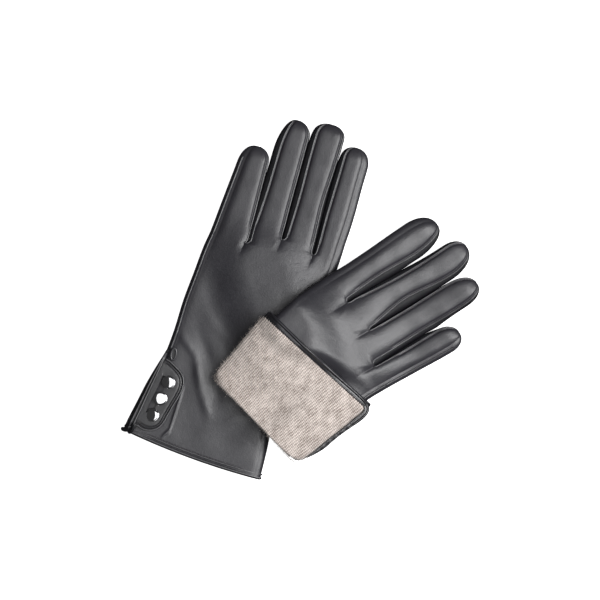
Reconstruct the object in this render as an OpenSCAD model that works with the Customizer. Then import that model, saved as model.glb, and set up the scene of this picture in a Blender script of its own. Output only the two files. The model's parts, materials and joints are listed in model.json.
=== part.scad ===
// A pair of lined leather dress gloves, lying back up with the thumbs tucked under the palms.
// The left glove lies flat. The right glove lies across it with its cuff turned back.
// Each glove is drawn in its own plan: u runs across the hand towards the forefinger, v runs from
// the hem towards the fingertips, and place() carries both into the shared frame.

/* [Leather and lining] */
// Thickness of the glove leather
leather = 0.8; // [0.6:0.1:0.9]
// Thickness of the knitted lining
knit = 1.0; // [0.8:0.1:1.1]
// Half of the flattened hand's thickness
hand_half = 4.6; // [4.4:0.1:4.8]
// Half of a finger's thickness
finger_half = 5.0; // [4.8:0.1:5.1]
// Half of a tucked thumb's thickness
thumb_half = 3.0; // [2.8:0.1:3.1]

/* [Cuff] */
// Thickness of the leather that binds the hem
binding_t = 0.6; // [0.5:0.1:0.7]
// How far the hem's binding reaches on the outside
binding_out = 3; // [2:0.5:4]
// How far the hem's binding reaches on the inside
binding_in = 6; // [5:0.5:8]

/* [Wrist flap] */
// Thickness of the flap's outer leather
flap_t = 0.8; // [0.6:0.1:1.0]
// Thickness of the flap's backing
backing_t = 0.6; // [0.5:0.1:0.8]
// Distance between two snap fasteners along the flap
snap_pitch = 12.9; // [12:0.1:14]
// Radius of a snap's polished cap
cap_r = 5; // [4.5:0.25:5.25]

/* [Hidden] */

LEFT = 0;
RIGHT = 1;
INDEX = 0;
MIDDLE = 1;
RING = 2;
LITTLE = 3;

seam_gap = 0.05;                            // between leather and lining
wall = leather + seam_gap + knit;           // whole thickness of the glove's wall
fold_gap = 1.0;                             // between the hand and the cuff turned back over it
fold_v = 57;                                // where the right cuff turns back
turned_in = fold_gap + leather + seam_gap;  // from the hand's outside to the turned lining
turned_out = turned_in + knit;              // from the hand's outside to the turned cuff's outside
hand_points = 28;                           // points round a hand section
digit_points = 16;                          // points round a finger section

// Where each glove's plan begins (the middle of its hem), and which way its fingers point.
origin = [[-75.5, -111], [-79.8, -116.6]];
heading = [73.5, 33];
mirror_sign = [1, -1];
centre = [0.35, 0.23];                            // the middle of the pair as it lies
function place(g, u, v) = origin[g] - centre + v * [cos(heading[g]), sin(heading[g])]
    + mirror_sign[g] * u * [sin(heading[g]), -cos(heading[g])];

function smooth(x) = let (t = min(1, max(0, x))) t * t * (3 - 2 * t);
function mix(a, b, t) = a + (b - a) * t;
function signed_power(x, e) = sign(x) * pow(abs(x), e);
function flat(x) = max(-1, min(1, 1.03 * x));
function backwards(list) = [for (i = [len(list) - 1:-1:0]) list[i]];

// Fingers: [u at the knuckle, v there, u at the tip, v there, half width at each, sideways bow]
fingers = [
    [[51.2, 166.6, 49.5, 244.5, 9.8, 10.0, 0.8],
     [28.0, 170.8, 27.0, 255.5, 10.6, 10.5, 0.4],
     [4.5, 170.8, 2.5, 251.5, 10.3, 10.6, 0.6],
     [-22.0, 161.4, -19.8, 225.5, 12.0, 9.8, -0.4]],
    [[47.0, 163.0, 45.5, 243.0, 10.8, 10.4, 0.6],
     [22.0, 165.5, 21.0, 252.0, 10.8, 9.9, 0.4],
     [-2.5, 165.5, -5.5, 243.9, 10.0, 9.3, -0.3],
     [-24.0, 156.0, -28.0, 214.0, 9.5, 8.7, -0.6]]];
// Thumbs: [u at the root, v there, u at the tip, v there, half width at each]
thumbs = [[40, 98, 9, 144, 12.5, 10.5], [42, 118, 5, 147, 12.0, 10.0]];

// Hand sections: [v, u at the little finger's side, u at the forefinger's side, bow, slant]
left_hand = [[-0.3, -55.4, 49.8, -2.5, -3.3], [20, -50.2, 46.5, -1.5, -2], [40, -46.6, 43.5, -0.5, -1],
    [60, -43.4, 41, 0, 0], [80, -42.4, 41, 0, 0], [100, -40.5, 46, 0, 0], [110, -39.5, 50, 0.5, 0],
    [120, -38.6, 54, 1.5, 0], [128, -37.8, 56.4, 3, 0.5], [135, -37.2, 58, 4.5, 1],
    [148, -36.2, 59.7, 5, 1], [150, -36, 60, 0, 0]];
right_hand = [[57, -42.2, 42.3, 0, -7.1], [58.5, -42, 42.5, 0, -7], [76, -39.5, 45, 0, -5.5],
    [95, -36.5, 50, 0, -4],
    [115, -34.2, 54.5, 0.5, -2],
    [130, -33, 57.3, 4, 0.5], [142, -33, 57.8, 4, 0.5], [145, -33, 58, 0, 0]];
turned_cuff = [[57, -42.2, 42.3, 0, -7.1], [58.6, -42.1, 42.7, 0, -7.25], [72.8, -41.2, 46.4, 0, -8.6],
    [88.7, -40.2, 50.5, 0, -10.1], [104.5, -39.3, 54.7, 0, -11.6], [120.3, -38.3, 58.8, 0, -13.2]];
// Where the back of the hand ends below its fingers: [u, v], from the little finger's side.
knuckles = [[[-36, 154.5], [-9, 155], [-2, 160], [4, 165], [38, 165], [42, 160.8], [60, 160.8]],
    [[-33, 149.8], [-14, 150], [-9.7, 151], [1.6, 158.4], [33, 158.8], [36, 157], [58, 157]]];
hand_reach = [5, 1.5];                       // how far each palm's end runs on beneath the fingers

// How high each underside lies. A palm rides over its own thumb, the right glove rides over the
// left one and slopes down to the table beyond its edge, and a turned cuff lifts what it wraps.
thumb_rise = 2 * thumb_half + 0.3;
left_edge = [2, -40];
off_left = [0.932, -0.362];
function to_segment(p, a, b) = let (d = b - a, t = min(1, max(0, (p - a) * d / (d * d))))
    norm(p - a - t * d);
function thumb_away(g, u, v) = let (t = thumbs[g]) to_segment([u, v], [t[0], t[1]], [t[2], t[3]]);
function plan_of_left(p) = let (q = p + centre - origin[LEFT])
    [q[0] * sin(heading[LEFT]) - q[1] * cos(heading[LEFT]),
     q[0] * cos(heading[LEFT]) + q[1] * sin(heading[LEFT])];
function on_left(p) = let (q = plan_of_left(p))
    2 * hand_half + 0.4 + thumb_rise * smooth((50 - thumb_away(LEFT, q[0], q[1])) / 34);
function table(g, u, v) = g == LEFT ? 0 :
    let (p = place(g, u, v)) on_left(p) * (1 - smooth(((p + centre - left_edge) * off_left + 3) / 85));
function wrap_lift(g, v) = g == LEFT ? binding_t * (1 - smooth((v - 5) / 12))
    : (turned_out + binding_t + 0.1) * (1 - smooth((v - 124) / 20));
function base(g, u, v) = table(g, u, v) + thumb_rise * smooth((28 - thumb_away(g, u, v)) / 16)
    + wrap_lift(g, v);

// A section of the hand, moved inwards by d (outwards where d is negative). puff lifts the back on
// the little finger's side, where the turned cuff closes over its own flap. reach runs the palm on.
function hand_ring(g, st, d, puff = 0, reach = 0) = [for (j = [0:hand_points - 1])
    let (a = (j + 0.5) * 360 / hand_points, c = signed_power(cos(a), 0.65),
         s = flat(signed_power(sin(a), 0.65)), half = (st[2] - st[1]) / 2 - d,
         u = (st[1] + st[2]) / 2 + half * c,
         v = reach > 0 ? lookup(u, knuckles[g]) + reach * smooth(-2 * s)
            : st[0] + st[3] * (1 - c * c) + st[4] * c,
         p = place(g, u, v))
    [p[0], p[1], base(g, u, v) + hand_half + (hand_half - d) * s
        + puff * smooth(s / 0.6) * smooth((-0.05 - c) / 0.4)]];
function section_at(list, v) = let (
    i = max([0, for (k = [1:len(list) - 2]) if (list[k][0] <= v) k]),
    t = (v - list[i][0]) / (list[i + 1][0] - list[i][0])) mix(list[i], list[i + 1], t);

// Rings are turned round for the right glove, whose plan is mirrored, so faces look outwards.
// other_way splits each cell along its other diagonal, so that a layer meets its neighbour exactly.
module skin(g, rings, closed = false, other_way = false) {
    n = len(rings[0]);
    m = len(rings);
    points = [for (r = rings) each (g == LEFT ? r : backwards(r))];
    sides = [for (i = [0:(closed ? m - 1 : m - 2)]) for (j = [0:n - 1])
        let (k = (j + 1) % n, a = i * n, b = ((i + 1) % m) * n)
        each (other_way ? [[a + j, a + k, b + j], [a + k, b + k, b + j]]
            : [[a + j, a + k, b + k], [a + j, b + k, b + j]])];
    end = (m - 1) * n;
    first = [for (j = [1:n - 2]) [0, j + 1, j]];
    last = [for (j = [1:n - 2]) [end, end + j, end + j + 1]];
    polyhedron(points = points, faces = closed ? sides : concat(sides, first, last), convexity = 6);
}

// A leather panel between an outer and an inner set of rings, present only in the cells that
// on(i, j) allows. Where capped, both sets close over their last ring.
module panel(g, outer, inner, on, capped = false) {
    n = len(outer[0]);
    m = len(outer);
    all_rings = concat(outer, inner);
    used = function(i, j) i >= 0 && i < m - 1 && on(i, (j + n) % n);
    q = function(layer, i, j) (layer * m + i) * n + (j + n) % n;
    cells = [for (i = [0:m - 2]) for (j = [0:n - 1]) if (used(i, j)) each concat(
        [[q(0, i, j), q(0, i, j + 1), q(0, i + 1, j + 1)], [q(0, i, j), q(0, i + 1, j + 1), q(0, i + 1, j)],
         [q(1, i, j), q(1, i + 1, j + 1), q(1, i, j + 1)], [q(1, i, j), q(1, i + 1, j), q(1, i + 1, j + 1)]],
        used(i - 1, j) ? [] : [[q(1, i, j), q(1, i, j + 1), q(0, i, j + 1)],
            [q(1, i, j), q(0, i, j + 1), q(0, i, j)]],
        (used(i + 1, j) || (capped && i == m - 2)) ? [] :
            [[q(0, i + 1, j), q(0, i + 1, j + 1), q(1, i + 1, j + 1)],
             [q(0, i + 1, j), q(1, i + 1, j + 1), q(1, i + 1, j)]],
        used(i, j - 1) ? [] : [[q(0, i, j), q(0, i + 1, j), q(1, i + 1, j)],
            [q(0, i, j), q(1, i + 1, j), q(1, i, j)]],
        used(i, j + 1) ? [] : [[q(0, i, j + 1), q(1, i, j + 1), q(1, i + 1, j + 1)],
            [q(0, i, j + 1), q(1, i + 1, j + 1), q(0, i + 1, j + 1)]])];
    caps = !capped ? [] : [for (j = [1:n - 2]) each
        [[q(0, m - 1, 0), q(0, m - 1, j), q(0, m - 1, j + 1)],
         [q(1, m - 1, 0), q(1, m - 1, j + 1), q(1, m - 1, j)]]];
    faces = [for (f = concat(cells, caps)) g == LEFT ? f : [f[0], f[2], f[1]]];
    wanted = [for (i = [0:len(all_rings) - 1]) each all_rings[i]];
    polyhedron(points = wanted, faces = faces, convexity = 6);
}

// The hand's rings at depth d, from its first section to its last, in order.
function hand_sections(g) = g == LEFT ? left_hand : right_hand;
function hand_rings(g, d, from = 0) = let (list = hand_sections(g), last = len(list) - 1)
    [for (i = [from:last]) hand_ring(g, list[i], d, 0, i == last ? hand_reach[g] : 0)];
function turned_rings(d, puff = 4.4) = [for (i = [0:len(turned_cuff) - 1])
    hand_ring(RIGHT, turned_cuff[i], d, puff)];
function shifted(st, dv) = [st[0] + dv, st[1], st[2], st[3], st[4]];

// One layer of the left hand is a plain sleeve; one of the right hand turns back at the fold.
module sleeve(d, t, other_way = false) {
    skin(LEFT, concat(hand_rings(LEFT, d), backwards(hand_rings(LEFT, d + t))), closed = true,
        other_way = other_way);
}
module turned_sleeve(d, t, back_d, fold_d, other_way = false) {
    fold = turned_cuff[0];
    skin(RIGHT, backwards(concat(
        [hand_ring(RIGHT, shifted(fold, -fold_d), -back_d - t, 4.4),
         hand_ring(RIGHT, shifted(fold, -fold_d), d + t)],
        hand_rings(RIGHT, d + t, 1),
        backwards(hand_rings(RIGHT, d, 1)),
        [hand_ring(RIGHT, shifted(fold, t - fold_d), d),
         hand_ring(RIGHT, shifted(fold, t - fold_d), -back_d, 4.4)],
        [for (i = [1:len(turned_cuff) - 1]) hand_ring(RIGHT, turned_cuff[i], -back_d, 4.4)],
        backwards([for (i = [1:len(turned_cuff) - 1]) hand_ring(RIGHT, turned_cuff[i], -back_d - t, 4.4)]))),
        closed = true, other_way = other_way);
}

// The binding folds over the hem: it shows mostly on the lined side.
module binding(g) {
    list = g == LEFT ? left_hand : turned_cuff;
    hem = g == LEFT ? list[0] : list[len(list) - 1];
    way = g == LEFT ? 1 : -1;
    lined = g == LEFT ? wall : -turned_out;
    plain = g == LEFT ? 0 : -fold_gap;
    puff = g == LEFT ? 0 : 4.4;
    deep = section_at(list, hem[0] + way * binding_in);
    near = section_at(list, hem[0] + way * binding_out);
    rings = [hand_ring(g, near, plain, puff), hand_ring(g, near, plain - way * binding_t, puff),
        hand_ring(g, shifted(hem, -way * (binding_t + 0.05)), plain - way * binding_t, puff),
        hand_ring(g, shifted(hem, -way * (binding_t + 0.05)), lined + way * binding_t, puff),
        hand_ring(g, deep, lined + way * binding_t, puff), hand_ring(g, deep, lined, puff),
        hand_ring(g, shifted(hem, -way * 0.05), lined, puff),
        hand_ring(g, shifted(hem, -way * 0.05), plain, puff)];
    skin(g, backwards(rings), closed = true);
}

// A finger or thumb section, t of the way from root to tip, with its half width and half height.
cross_fall = [0, 0.13];
function digit_ring(g, f, t, wide, high, lift, fall) = let (
    u0 = mix(f[0], f[2], t) + f[6] * 4 * t * (1 - t), v0 = mix(f[1], f[3], t))
    [for (j = [0:digit_points - 1]) let (a = (j + 0.5) * 360 / digit_points,
        c = signed_power(cos(a), 0.8), s = flat(signed_power(sin(a), 0.8)), p = place(g, u0 + wide * c, v0))
        [p[0], p[1], table(g, u0, v0) + abs(fall) * wide + lift + fall * wide * c + high * s]];
// Rings from the root to the tip at depth d: straight, then rounding off.
digit_steps = [0, 0.2, 0.4, 0.6, 0.8];
tip_angles = [0, 30, 52, 70, 82];
function digit_rings(g, f, d, half, lift, twist = true) = let (len_v = f[3] - f[1], round = (f[5] - d) * 1.05,
    straight = 1 - (round + d) / len_v)
    concat([for (s = digit_steps) let (t = s * straight) digit_ring(g, f, t, mix(f[4], f[5], t) - d, half - d, lift,
        twist ? cross_fall[g] * (1 - t) : 0)],
    [for (a = tip_angles) let (t = straight + round * sin(a) / len_v)
        digit_ring(g, f, t, (f[5] - d) * max(0.12, cos(a)), (half - d) * max(0.2, pow(cos(a), 0.6)), lift,
        twist ? cross_fall[g] * (1 - t) : 0)]);

// Cells of the sides where a fourchette stands in for the stall: forefinger's side and the other.
fore_cells = [14, 15, 0];
little_cells = [6, 7, 8];
side_rows = len(digit_steps);
function has(list, x) = len([for (k = list) if (k == x) 1]) > 0;
function fourchette_cells(d) = concat(d == INDEX ? [] : fore_cells, d == LITTLE ? [] : little_cells);

module stall(g, d) {
    f = fingers[g][d];
    cut = fourchette_cells(d);
    panel(g, digit_rings(g, f, 0, finger_half, finger_half), digit_rings(g, f, leather, finger_half, finger_half),
        function(i, j) !(i < side_rows && has(cut, j)), capped = true);
}
module fourchettes(g, d) {
    f = fingers[g][d];
    cut = fourchette_cells(d);
    panel(g, digit_rings(g, f, 0, finger_half, finger_half), digit_rings(g, f, leather, finger_half, finger_half),
        function(i, j) i < side_rows && has(cut, j));
}
module finger_lining(g, d) {
    f = fingers[g][d];
    out = digit_rings(g, f, leather + seam_gap, finger_half, finger_half);
    inside = digit_rings(g, f, wall, finger_half, finger_half);
    skin(g, concat(backwards(inside), out));
}

// The tucked thumb lies flat under the palm, its own lining pressed solid.
function thumb_shape(g) = concat(thumbs[g], [0]);
module thumb(g) {
    f = thumb_shape(g);
    out = digit_rings(g, f, 0, thumb_half, thumb_half, false);
    inside = digit_rings(g, f, leather, thumb_half, thumb_half, false);
    skin(g, concat(backwards(inside), out));
}
module thumb_lining(g) {
    f = thumb_shape(g);
    skin(g, digit_rings(g, f, leather + 2 * seam_gap, thumb_half, thumb_half, false));
}

// The flap closes the wrist's vent on the little finger's side. On the left glove it lies on the
// back of the cuff; on the right one the turned cuff has carried it inside the fold, face down.
// Its free edge: [v, u].
flap_edge = [[8.2, -37.5], [9, -33], [12, -30], [17, -28.3], [27, -26.2], [38, -23.3], [46, -22.9],
    [52, -24.8], [57, -30], [59.5, -36.5]];
function hinge_u(v) = -40.5 - (60 - v) * 7 / 48;
function turned_v(v) = 126 - v;
function flap_ground(g, u, v) = g == LEFT ? 0 : base(g, u, v);
flap_level = [10.6, 11.7];                  // the flap's side that faces its own snap sockets
flap_side = [1, -1];                        // which way its outer face looks
module ribbon(g, rows, low, high, other_way = false) {
    rings = [for (r = rows) [for (e = [[r[1], low], [r[2], low], [r[2], high], [r[1], high]])
        let (p = place(g, e[0], r[0])) [p[0], p[1], flap_ground(g, e[0], r[0]) + e[1]]]];
    skin(g, rings, other_way = other_way);
}
function flap_rows(g) = g == LEFT ? [for (e = flap_edge) [e[0], hinge_u(e[0]), e[1]]]
    : [for (e = backwards(flap_edge)) [turned_v(e[0]), -36.9, e[1] + 1]];
module flap_layer(g, near, far, other_way = false) {
    a = flap_level[g] + flap_side[g] * near;
    b = flap_level[g] + flap_side[g] * far;
    ribbon(g, flap_rows(g), min(a, b), max(a, b), other_way);
}
module flap(g) flap_layer(g, backing_t, backing_t + flap_t);
module flap_backing(g) flap_layer(g, 0, backing_t, true);

// The flap's root comes from the palm side, up round the edge, and stops short of the fold line.
module flap_root(g) {
    if (g == LEFT) {
        rings = [for (v = [56, 44, 32, 20, 9.5]) let (st = section_at(left_hand, v), h = hinge_u(v) - 1.1,
            out = [for (a = [205, 190, 178, 166]) root_point(st, a, -flap_t - backing_t)],
            inside = [for (a = [166, 178, 190, 205]) root_point(st, a, -0.02)])
            [for (p = concat(inside, out, [[h - 1.5, flap_level[LEFT] + 1.25],
                    [h, flap_level[LEFT] + 0.4], [h, flap_level[LEFT]]]))
                let (q = place(LEFT, p[0], v)) [q[0], q[1], p[1]]]];
        skin(LEFT, rings);
    } else {
        ribbon(RIGHT, [for (e = backwards(flap_edge)) [turned_v(e[0]), -38.6, -37.2]],
            flap_level[RIGHT] - backing_t - flap_t, flap_level[RIGHT]);
    }
}
function root_point(st, a, d) = let (half = (st[2] - st[1]) / 2 - d)
    [(st[1] + st[2]) / 2 + half * signed_power(cos(a), 0.65),
     hand_half + (hand_half - d) * flat(signed_power(sin(a), 0.65))];

// Snap fasteners: [u, v] of each, square to the leather beneath.
function snap_place(g, i) = g == LEFT ? [-33.2 - 2.2 * i, 44.3 - snap_pitch * i]
    : [-28.5, turned_v(44.3 - snap_pitch * i)];
module at_snaps(g) for (i = [0:2]) {
    s = snap_place(g, i);
    du = (flap_ground(g, s[0] + 2, s[1]) - flap_ground(g, s[0] - 2, s[1])) / 4;
    dv = (flap_ground(g, s[0], s[1] + 2) - flap_ground(g, s[0], s[1] - 2)) / 4;
    grad = dv * [cos(heading[g]), sin(heading[g])] + mirror_sign[g] * du * [sin(heading[g]), -cos(heading[g])];
    p = place(g, s[0], s[1]);
    translate([p[0], p[1], flap_ground(g, s[0], s[1]) + flap_level[g]])
        rotate(a = atan(norm(grad)), v = [grad[1], -grad[0], 0.000001])
        rotate(a = g == LEFT ? 0 : 180, v = [1, 0, 0]) children();
}
module snap_caps(g) at_snaps(g) translate([0, 0, flap_t + backing_t]) rotate_extrude($fn = 48)
    polygon([[0, 0], [cap_r, 0], [cap_r, 0.3], [cap_r * 0.94, 0.55], [cap_r * 0.6, 0.9], [0, 1.05]]);
module snap_sockets(g) at_snaps(g) translate([0, 0, -0.8]) difference() {
    cylinder(r = 3.6, h = 0.8, $fn = 40);
    translate([0, 0, -0.5]) cylinder(r = 2.3, h = 2, $fn = 40);
}
module snap_studs(g) at_snaps(g) translate([0, 0, -1.8]) {
    cylinder(r = 3.3, h = 0.5, $fn = 40);
    translate([0, 0, 0.5]) cylinder(r = 1.9, h = 1.0, $fn = 40);
    translate([0, 0, g == LEFT ? -2.3 : -3.0]) cylinder(r = 1.1, h = g == LEFT ? 2.3 : 3.0, $fn = 24);
}

module trank(g) {
    if (g == LEFT) sleeve(0, leather);
    else turned_sleeve(0, leather, fold_gap, 0.2);
}
module hand_lining(g) {
    if (g == LEFT) sleeve(leather + seam_gap, knit, true);
    else turned_sleeve(leather + seam_gap, knit, turned_in, 0.2 + seam_gap + knit, true);
}

leather_colour = [0.22, 0.22, 0.23];
panel_colour = [0.13, 0.13, 0.14];
knit_colour = [0.70, 0.65, 0.61];
metal_colour = [0.75, 0.76, 0.78];

module left_trank() color(leather_colour) trank(LEFT);
module left_hand_lining() color(knit_colour) hand_lining(LEFT);
module left_hem_binding() color(panel_colour) binding(LEFT);
module left_thumb() color(leather_colour) thumb(LEFT);
module left_thumb_lining() color(knit_colour) thumb_lining(LEFT);
module left_flap_root() color(leather_colour) flap_root(LEFT);
module left_flap() color(leather_colour) flap(LEFT);
module left_flap_backing() color(panel_colour) flap_backing(LEFT);
module left_snap_caps() color(metal_colour) snap_caps(LEFT);
module left_snap_sockets() color(metal_colour) snap_sockets(LEFT);
module left_snap_studs() color(metal_colour) snap_studs(LEFT);
module left_index_stall() color(leather_colour) stall(LEFT, INDEX);
module left_index_lining() color(knit_colour) finger_lining(LEFT, INDEX);
module left_index_fourchette() color(panel_colour) fourchettes(LEFT, INDEX);
module left_middle_stall() color(leather_colour) stall(LEFT, MIDDLE);
module left_middle_lining() color(knit_colour) finger_lining(LEFT, MIDDLE);
module left_middle_fourchettes() color(panel_colour) fourchettes(LEFT, MIDDLE);
module left_ring_stall() color(leather_colour) stall(LEFT, RING);
module left_ring_lining() color(knit_colour) finger_lining(LEFT, RING);
module left_ring_fourchettes() color(panel_colour) fourchettes(LEFT, RING);
module left_little_stall() color(leather_colour) stall(LEFT, LITTLE);
module left_little_lining() color(knit_colour) finger_lining(LEFT, LITTLE);
module left_little_fourchette() color(panel_colour) fourchettes(LEFT, LITTLE);
module right_trank() color(leather_colour) trank(RIGHT);
module right_hand_lining() color(knit_colour) hand_lining(RIGHT);
module right_hem_binding() color(panel_colour) binding(RIGHT);
module right_thumb() color(leather_colour) thumb(RIGHT);
module right_thumb_lining() color(knit_colour) thumb_lining(RIGHT);
module right_flap_root() color(leather_colour) flap_root(RIGHT);
module right_flap() color(leather_colour) flap(RIGHT);
module right_flap_backing() color(panel_colour) flap_backing(RIGHT);
module right_snap_caps() color(metal_colour) snap_caps(RIGHT);
module right_snap_sockets() color(metal_colour) snap_sockets(RIGHT);
module right_snap_studs() color(metal_colour) snap_studs(RIGHT);
module right_index_stall() color(leather_colour) stall(RIGHT, INDEX);
module right_index_lining() color(knit_colour) finger_lining(RIGHT, INDEX);
module right_index_fourchette() color(panel_colour) fourchettes(RIGHT, INDEX);
module right_middle_stall() color(leather_colour) stall(RIGHT, MIDDLE);
module right_middle_lining() color(knit_colour) finger_lining(RIGHT, MIDDLE);
module right_middle_fourchettes() color(panel_colour) fourchettes(RIGHT, MIDDLE);
module right_ring_stall() color(leather_colour) stall(RIGHT, RING);
module right_ring_lining() color(knit_colour) finger_lining(RIGHT, RING);
module right_ring_fourchettes() color(panel_colour) fourchettes(RIGHT, RING);
module right_little_stall() color(leather_colour) stall(RIGHT, LITTLE);
module right_little_lining() color(knit_colour) finger_lining(RIGHT, LITTLE);
module right_little_fourchette() color(panel_colour) fourchettes(RIGHT, LITTLE);

left_trank();
left_hand_lining();
left_hem_binding();
left_thumb();
left_thumb_lining();
left_flap_root();
left_flap();
left_flap_backing();
left_snap_caps();
left_snap_sockets();
left_snap_studs();
left_index_stall();
left_index_lining();
left_index_fourchette();
left_middle_stall();
left_middle_lining();
left_middle_fourchettes();
left_ring_stall();
left_ring_lining();
left_ring_fourchettes();
left_little_stall();
left_little_lining();
left_little_fourchette();
right_trank();
right_hand_lining();
right_hem_binding();
right_thumb();
right_thumb_lining();
right_flap_root();
right_flap();
right_flap_backing();
right_snap_caps();
right_snap_sockets();
right_snap_studs();
right_index_stall();
right_index_lining();
right_index_fourchette();
right_middle_stall();
right_middle_lining();
right_middle_fourchettes();
right_ring_stall();
right_ring_lining();
right_ring_fourchettes();
right_little_stall();
right_little_lining();
right_little_fourchette();
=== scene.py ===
"""The looks of a pair of lined leather gloves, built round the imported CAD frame.

Each glove is drawn in its own plan, in millimetres: u runs across the hand towards the forefinger
and v from the hem towards the fingertips, as in the CAD source. place() carries both into the row.
"""
import json
import math

import bpy
import numpy as np
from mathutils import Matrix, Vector


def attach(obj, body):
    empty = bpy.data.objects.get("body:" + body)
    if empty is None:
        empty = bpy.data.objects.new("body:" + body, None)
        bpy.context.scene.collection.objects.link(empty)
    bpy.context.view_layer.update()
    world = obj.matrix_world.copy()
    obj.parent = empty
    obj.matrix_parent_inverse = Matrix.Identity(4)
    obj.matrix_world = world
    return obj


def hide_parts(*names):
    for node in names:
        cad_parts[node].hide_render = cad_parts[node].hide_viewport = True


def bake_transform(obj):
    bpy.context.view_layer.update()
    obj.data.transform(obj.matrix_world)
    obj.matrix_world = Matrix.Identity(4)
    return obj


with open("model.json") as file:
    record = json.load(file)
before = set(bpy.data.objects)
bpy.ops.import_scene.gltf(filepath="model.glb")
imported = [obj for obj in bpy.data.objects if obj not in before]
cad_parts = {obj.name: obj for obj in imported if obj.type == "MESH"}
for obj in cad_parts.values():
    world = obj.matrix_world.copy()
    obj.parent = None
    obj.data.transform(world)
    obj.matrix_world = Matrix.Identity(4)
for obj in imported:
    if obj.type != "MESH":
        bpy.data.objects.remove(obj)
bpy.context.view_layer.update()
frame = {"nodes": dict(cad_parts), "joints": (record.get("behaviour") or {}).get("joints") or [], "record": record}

MM = 0.001
LEFT, RIGHT = 0, 1
SIDES = ("left", "right")
INDEX, MIDDLE, RING, LITTLE = range(4)
DIGITS = ("index", "middle", "ring", "little")
rng = np.random.default_rng(7)

# ---- the plan, from the frame
JOINTS = {j["name"]: j for j in frame["joints"]}
MIRROR = (1, -1)
HINGE = [[np.array(JOINTS[f"{s}_{d}_bend"]["pos_m"]) * 1000 for d in DIGITS] for s in SIDES]

# Fingers: [u at the knuckle, v there, u at the tip, v there, half width at each, sideways bow]
FINGERS = (
    ((51.2, 166.6, 49.5, 244.5, 9.8, 10.0, 0.8), (28.0, 170.8, 27.0, 255.5, 10.6, 10.5, 0.4),
     (4.5, 170.8, 2.5, 251.5, 10.3, 10.6, 0.6), (-22.0, 161.4, -19.8, 225.5, 12.0, 9.8, -0.4)),
    ((47.0, 163.0, 45.5, 243.0, 10.8, 10.4, 0.6), (22.0, 165.5, 21.0, 252.0, 10.8, 9.9, 0.4),
     (-2.5, 165.5, -5.5, 243.9, 10.0, 9.3, -0.3), (-24.0, 156.0, -28.0, 214.0, 9.5, 8.7, -0.6)))
# Tucked thumbs: (u, v) of the root, (u, v) of the tip, half width at each
THUMBS = ((40, 98, 9, 144, 12.5, 10.5), (42, 118, 5, 147, 12.0, 10.0))
# How each finger's leather departs from that half width, at four places from knuckle to tip: how
# far the little side and the fore side stand past it, then how far their seams lie inside them.
DRESS = (
    (((1.1, 2.9, 1.6, 0.0), (-0.7, 0.2, 0.2, 1.3), (2.3, 3.4, 2.8, 2.4), (1.0, 1.0, 1.0, 1.0)),
     ((0.8, 1.5, 2.1, 1.5), (1.0, -0.6, 0.5, 1.3), (2.4, 3.3, 3.3, 3.0), (1.1, 1.1, 1.1, 1.1)),
     ((1.0, 1.6, 1.6, -0.6), (1.2, 0.5, 0.5, 0.9), (1.5, 3.4, 4.2, 3.5), (1.0, 1.0, 1.0, 1.0)),
     ((0.6, 0.2, 0.0, 0.3), (3.2, 2.9, 2.1, 1.0), (2.5, 2.5, 2.5, 2.5), (0.9, 0.9, 0.9, 0.9))),
    (((0.6, 2.5, 3.2, 2.1), (-0.2, 0.3, 1.8, 3.1), (2.0, 4.5, 4.1, 4.5), (1.0, 1.0, 1.0, 1.0)),
     ((1.6, 2.5, 4.3, 3.9), (2.4, 0.9, -0.6, 0.0), (1.3, 5.0, 3.5, 2.8), (2.0, 3.3, 2.4, 1.4)),
     ((1.9, 2.6, 0.8, 0.3), (1.9, 2.8, 2.2, 2.0), (3.1, 4.5, 2.4, 2.6), (1.4, 2.0, 0.6, 0.8)),
     ((0.0, -0.1, 0.3, 0.6), (-0.4, 1.0, 1.5, 1.8), (2.5, 2.5, 2.5, 2.5), (1.1, 1.4, 0.9, 0.9))))
# How long each tip's rounding is on the little side and on the fore side
TIPS = (((9, 14), (11, 9), (24, 12), (15, 10)), ((27, 20), (22, 14), (16, 17), (13, 14)))
# Crotches between neighbours, from the forefinger's side: (u, v)
CROTCHES = (((40.4, 161.1), (15.7, 165.3), (-9.1, 155.8)), ((34.4, 157.4), (8.9, 160.0), (-14.8, 148.7)))
# The line where neighbours touch, (v, u), and the v over which they come apart
GAPS = ((((161, 40.4), (183, 39.6), (205, 38.7), (243, 38.6)),
         ((165, 15.7), (185, 15.2), (205, 14.7), (244, 14.4)),
         ((156, -9.1), (182, -8.9), (208, -8.6), (222, -8.8))),
        (((157, 34.4), (175, 34.0), (193, 33.2), (212, 32.2)),
         ((160, 8.9), (182, 8.6), (204, 7.9), (228, 6.8)),
         ((149, -14.8), (166, -14.7), (184, -14.8), (204, -15.4))))
PARTED = (((230, 240), (238, 248), (206, 219)), ((203, 214), (219, 229), (192, 204)))
# Outlines of the hand: (v, u). The fingers' own lines take over at their knuckles.
FORE_EDGE = (((-4, 49.9), (0, 49.8), (25, 48.3), (50, 44.6), (75, 43.5), (100, 47.6), (120, 53.6),
              (138, 57.9), (154, 60.0)),
             ((48, 35), (57.5, 38.2), (60.5, 42.4), (66, 44.2), (76, 45.8), (95, 50), (115, 54.8),
              (130, 57.4), (145, 58.2), (156, 58.2)))
LITTLE_EDGE = (((-4, -55.2), (0, -54.6), (10, -51.8), (25, -47.6), (40, -44.2), (54, -42.2), (66, -41.0),
                (80, -40.0), (104, -39.7), (126, -38.1), (147, -36.5), (156, -35.2)),
               ((48, -31), (57.5, -36.4), (61, -40.8), (66, -41.6), (76, -40.5), (95, -36.5), (115, -33.8),
                (134, -32.5), (147, -33.0)))
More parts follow.
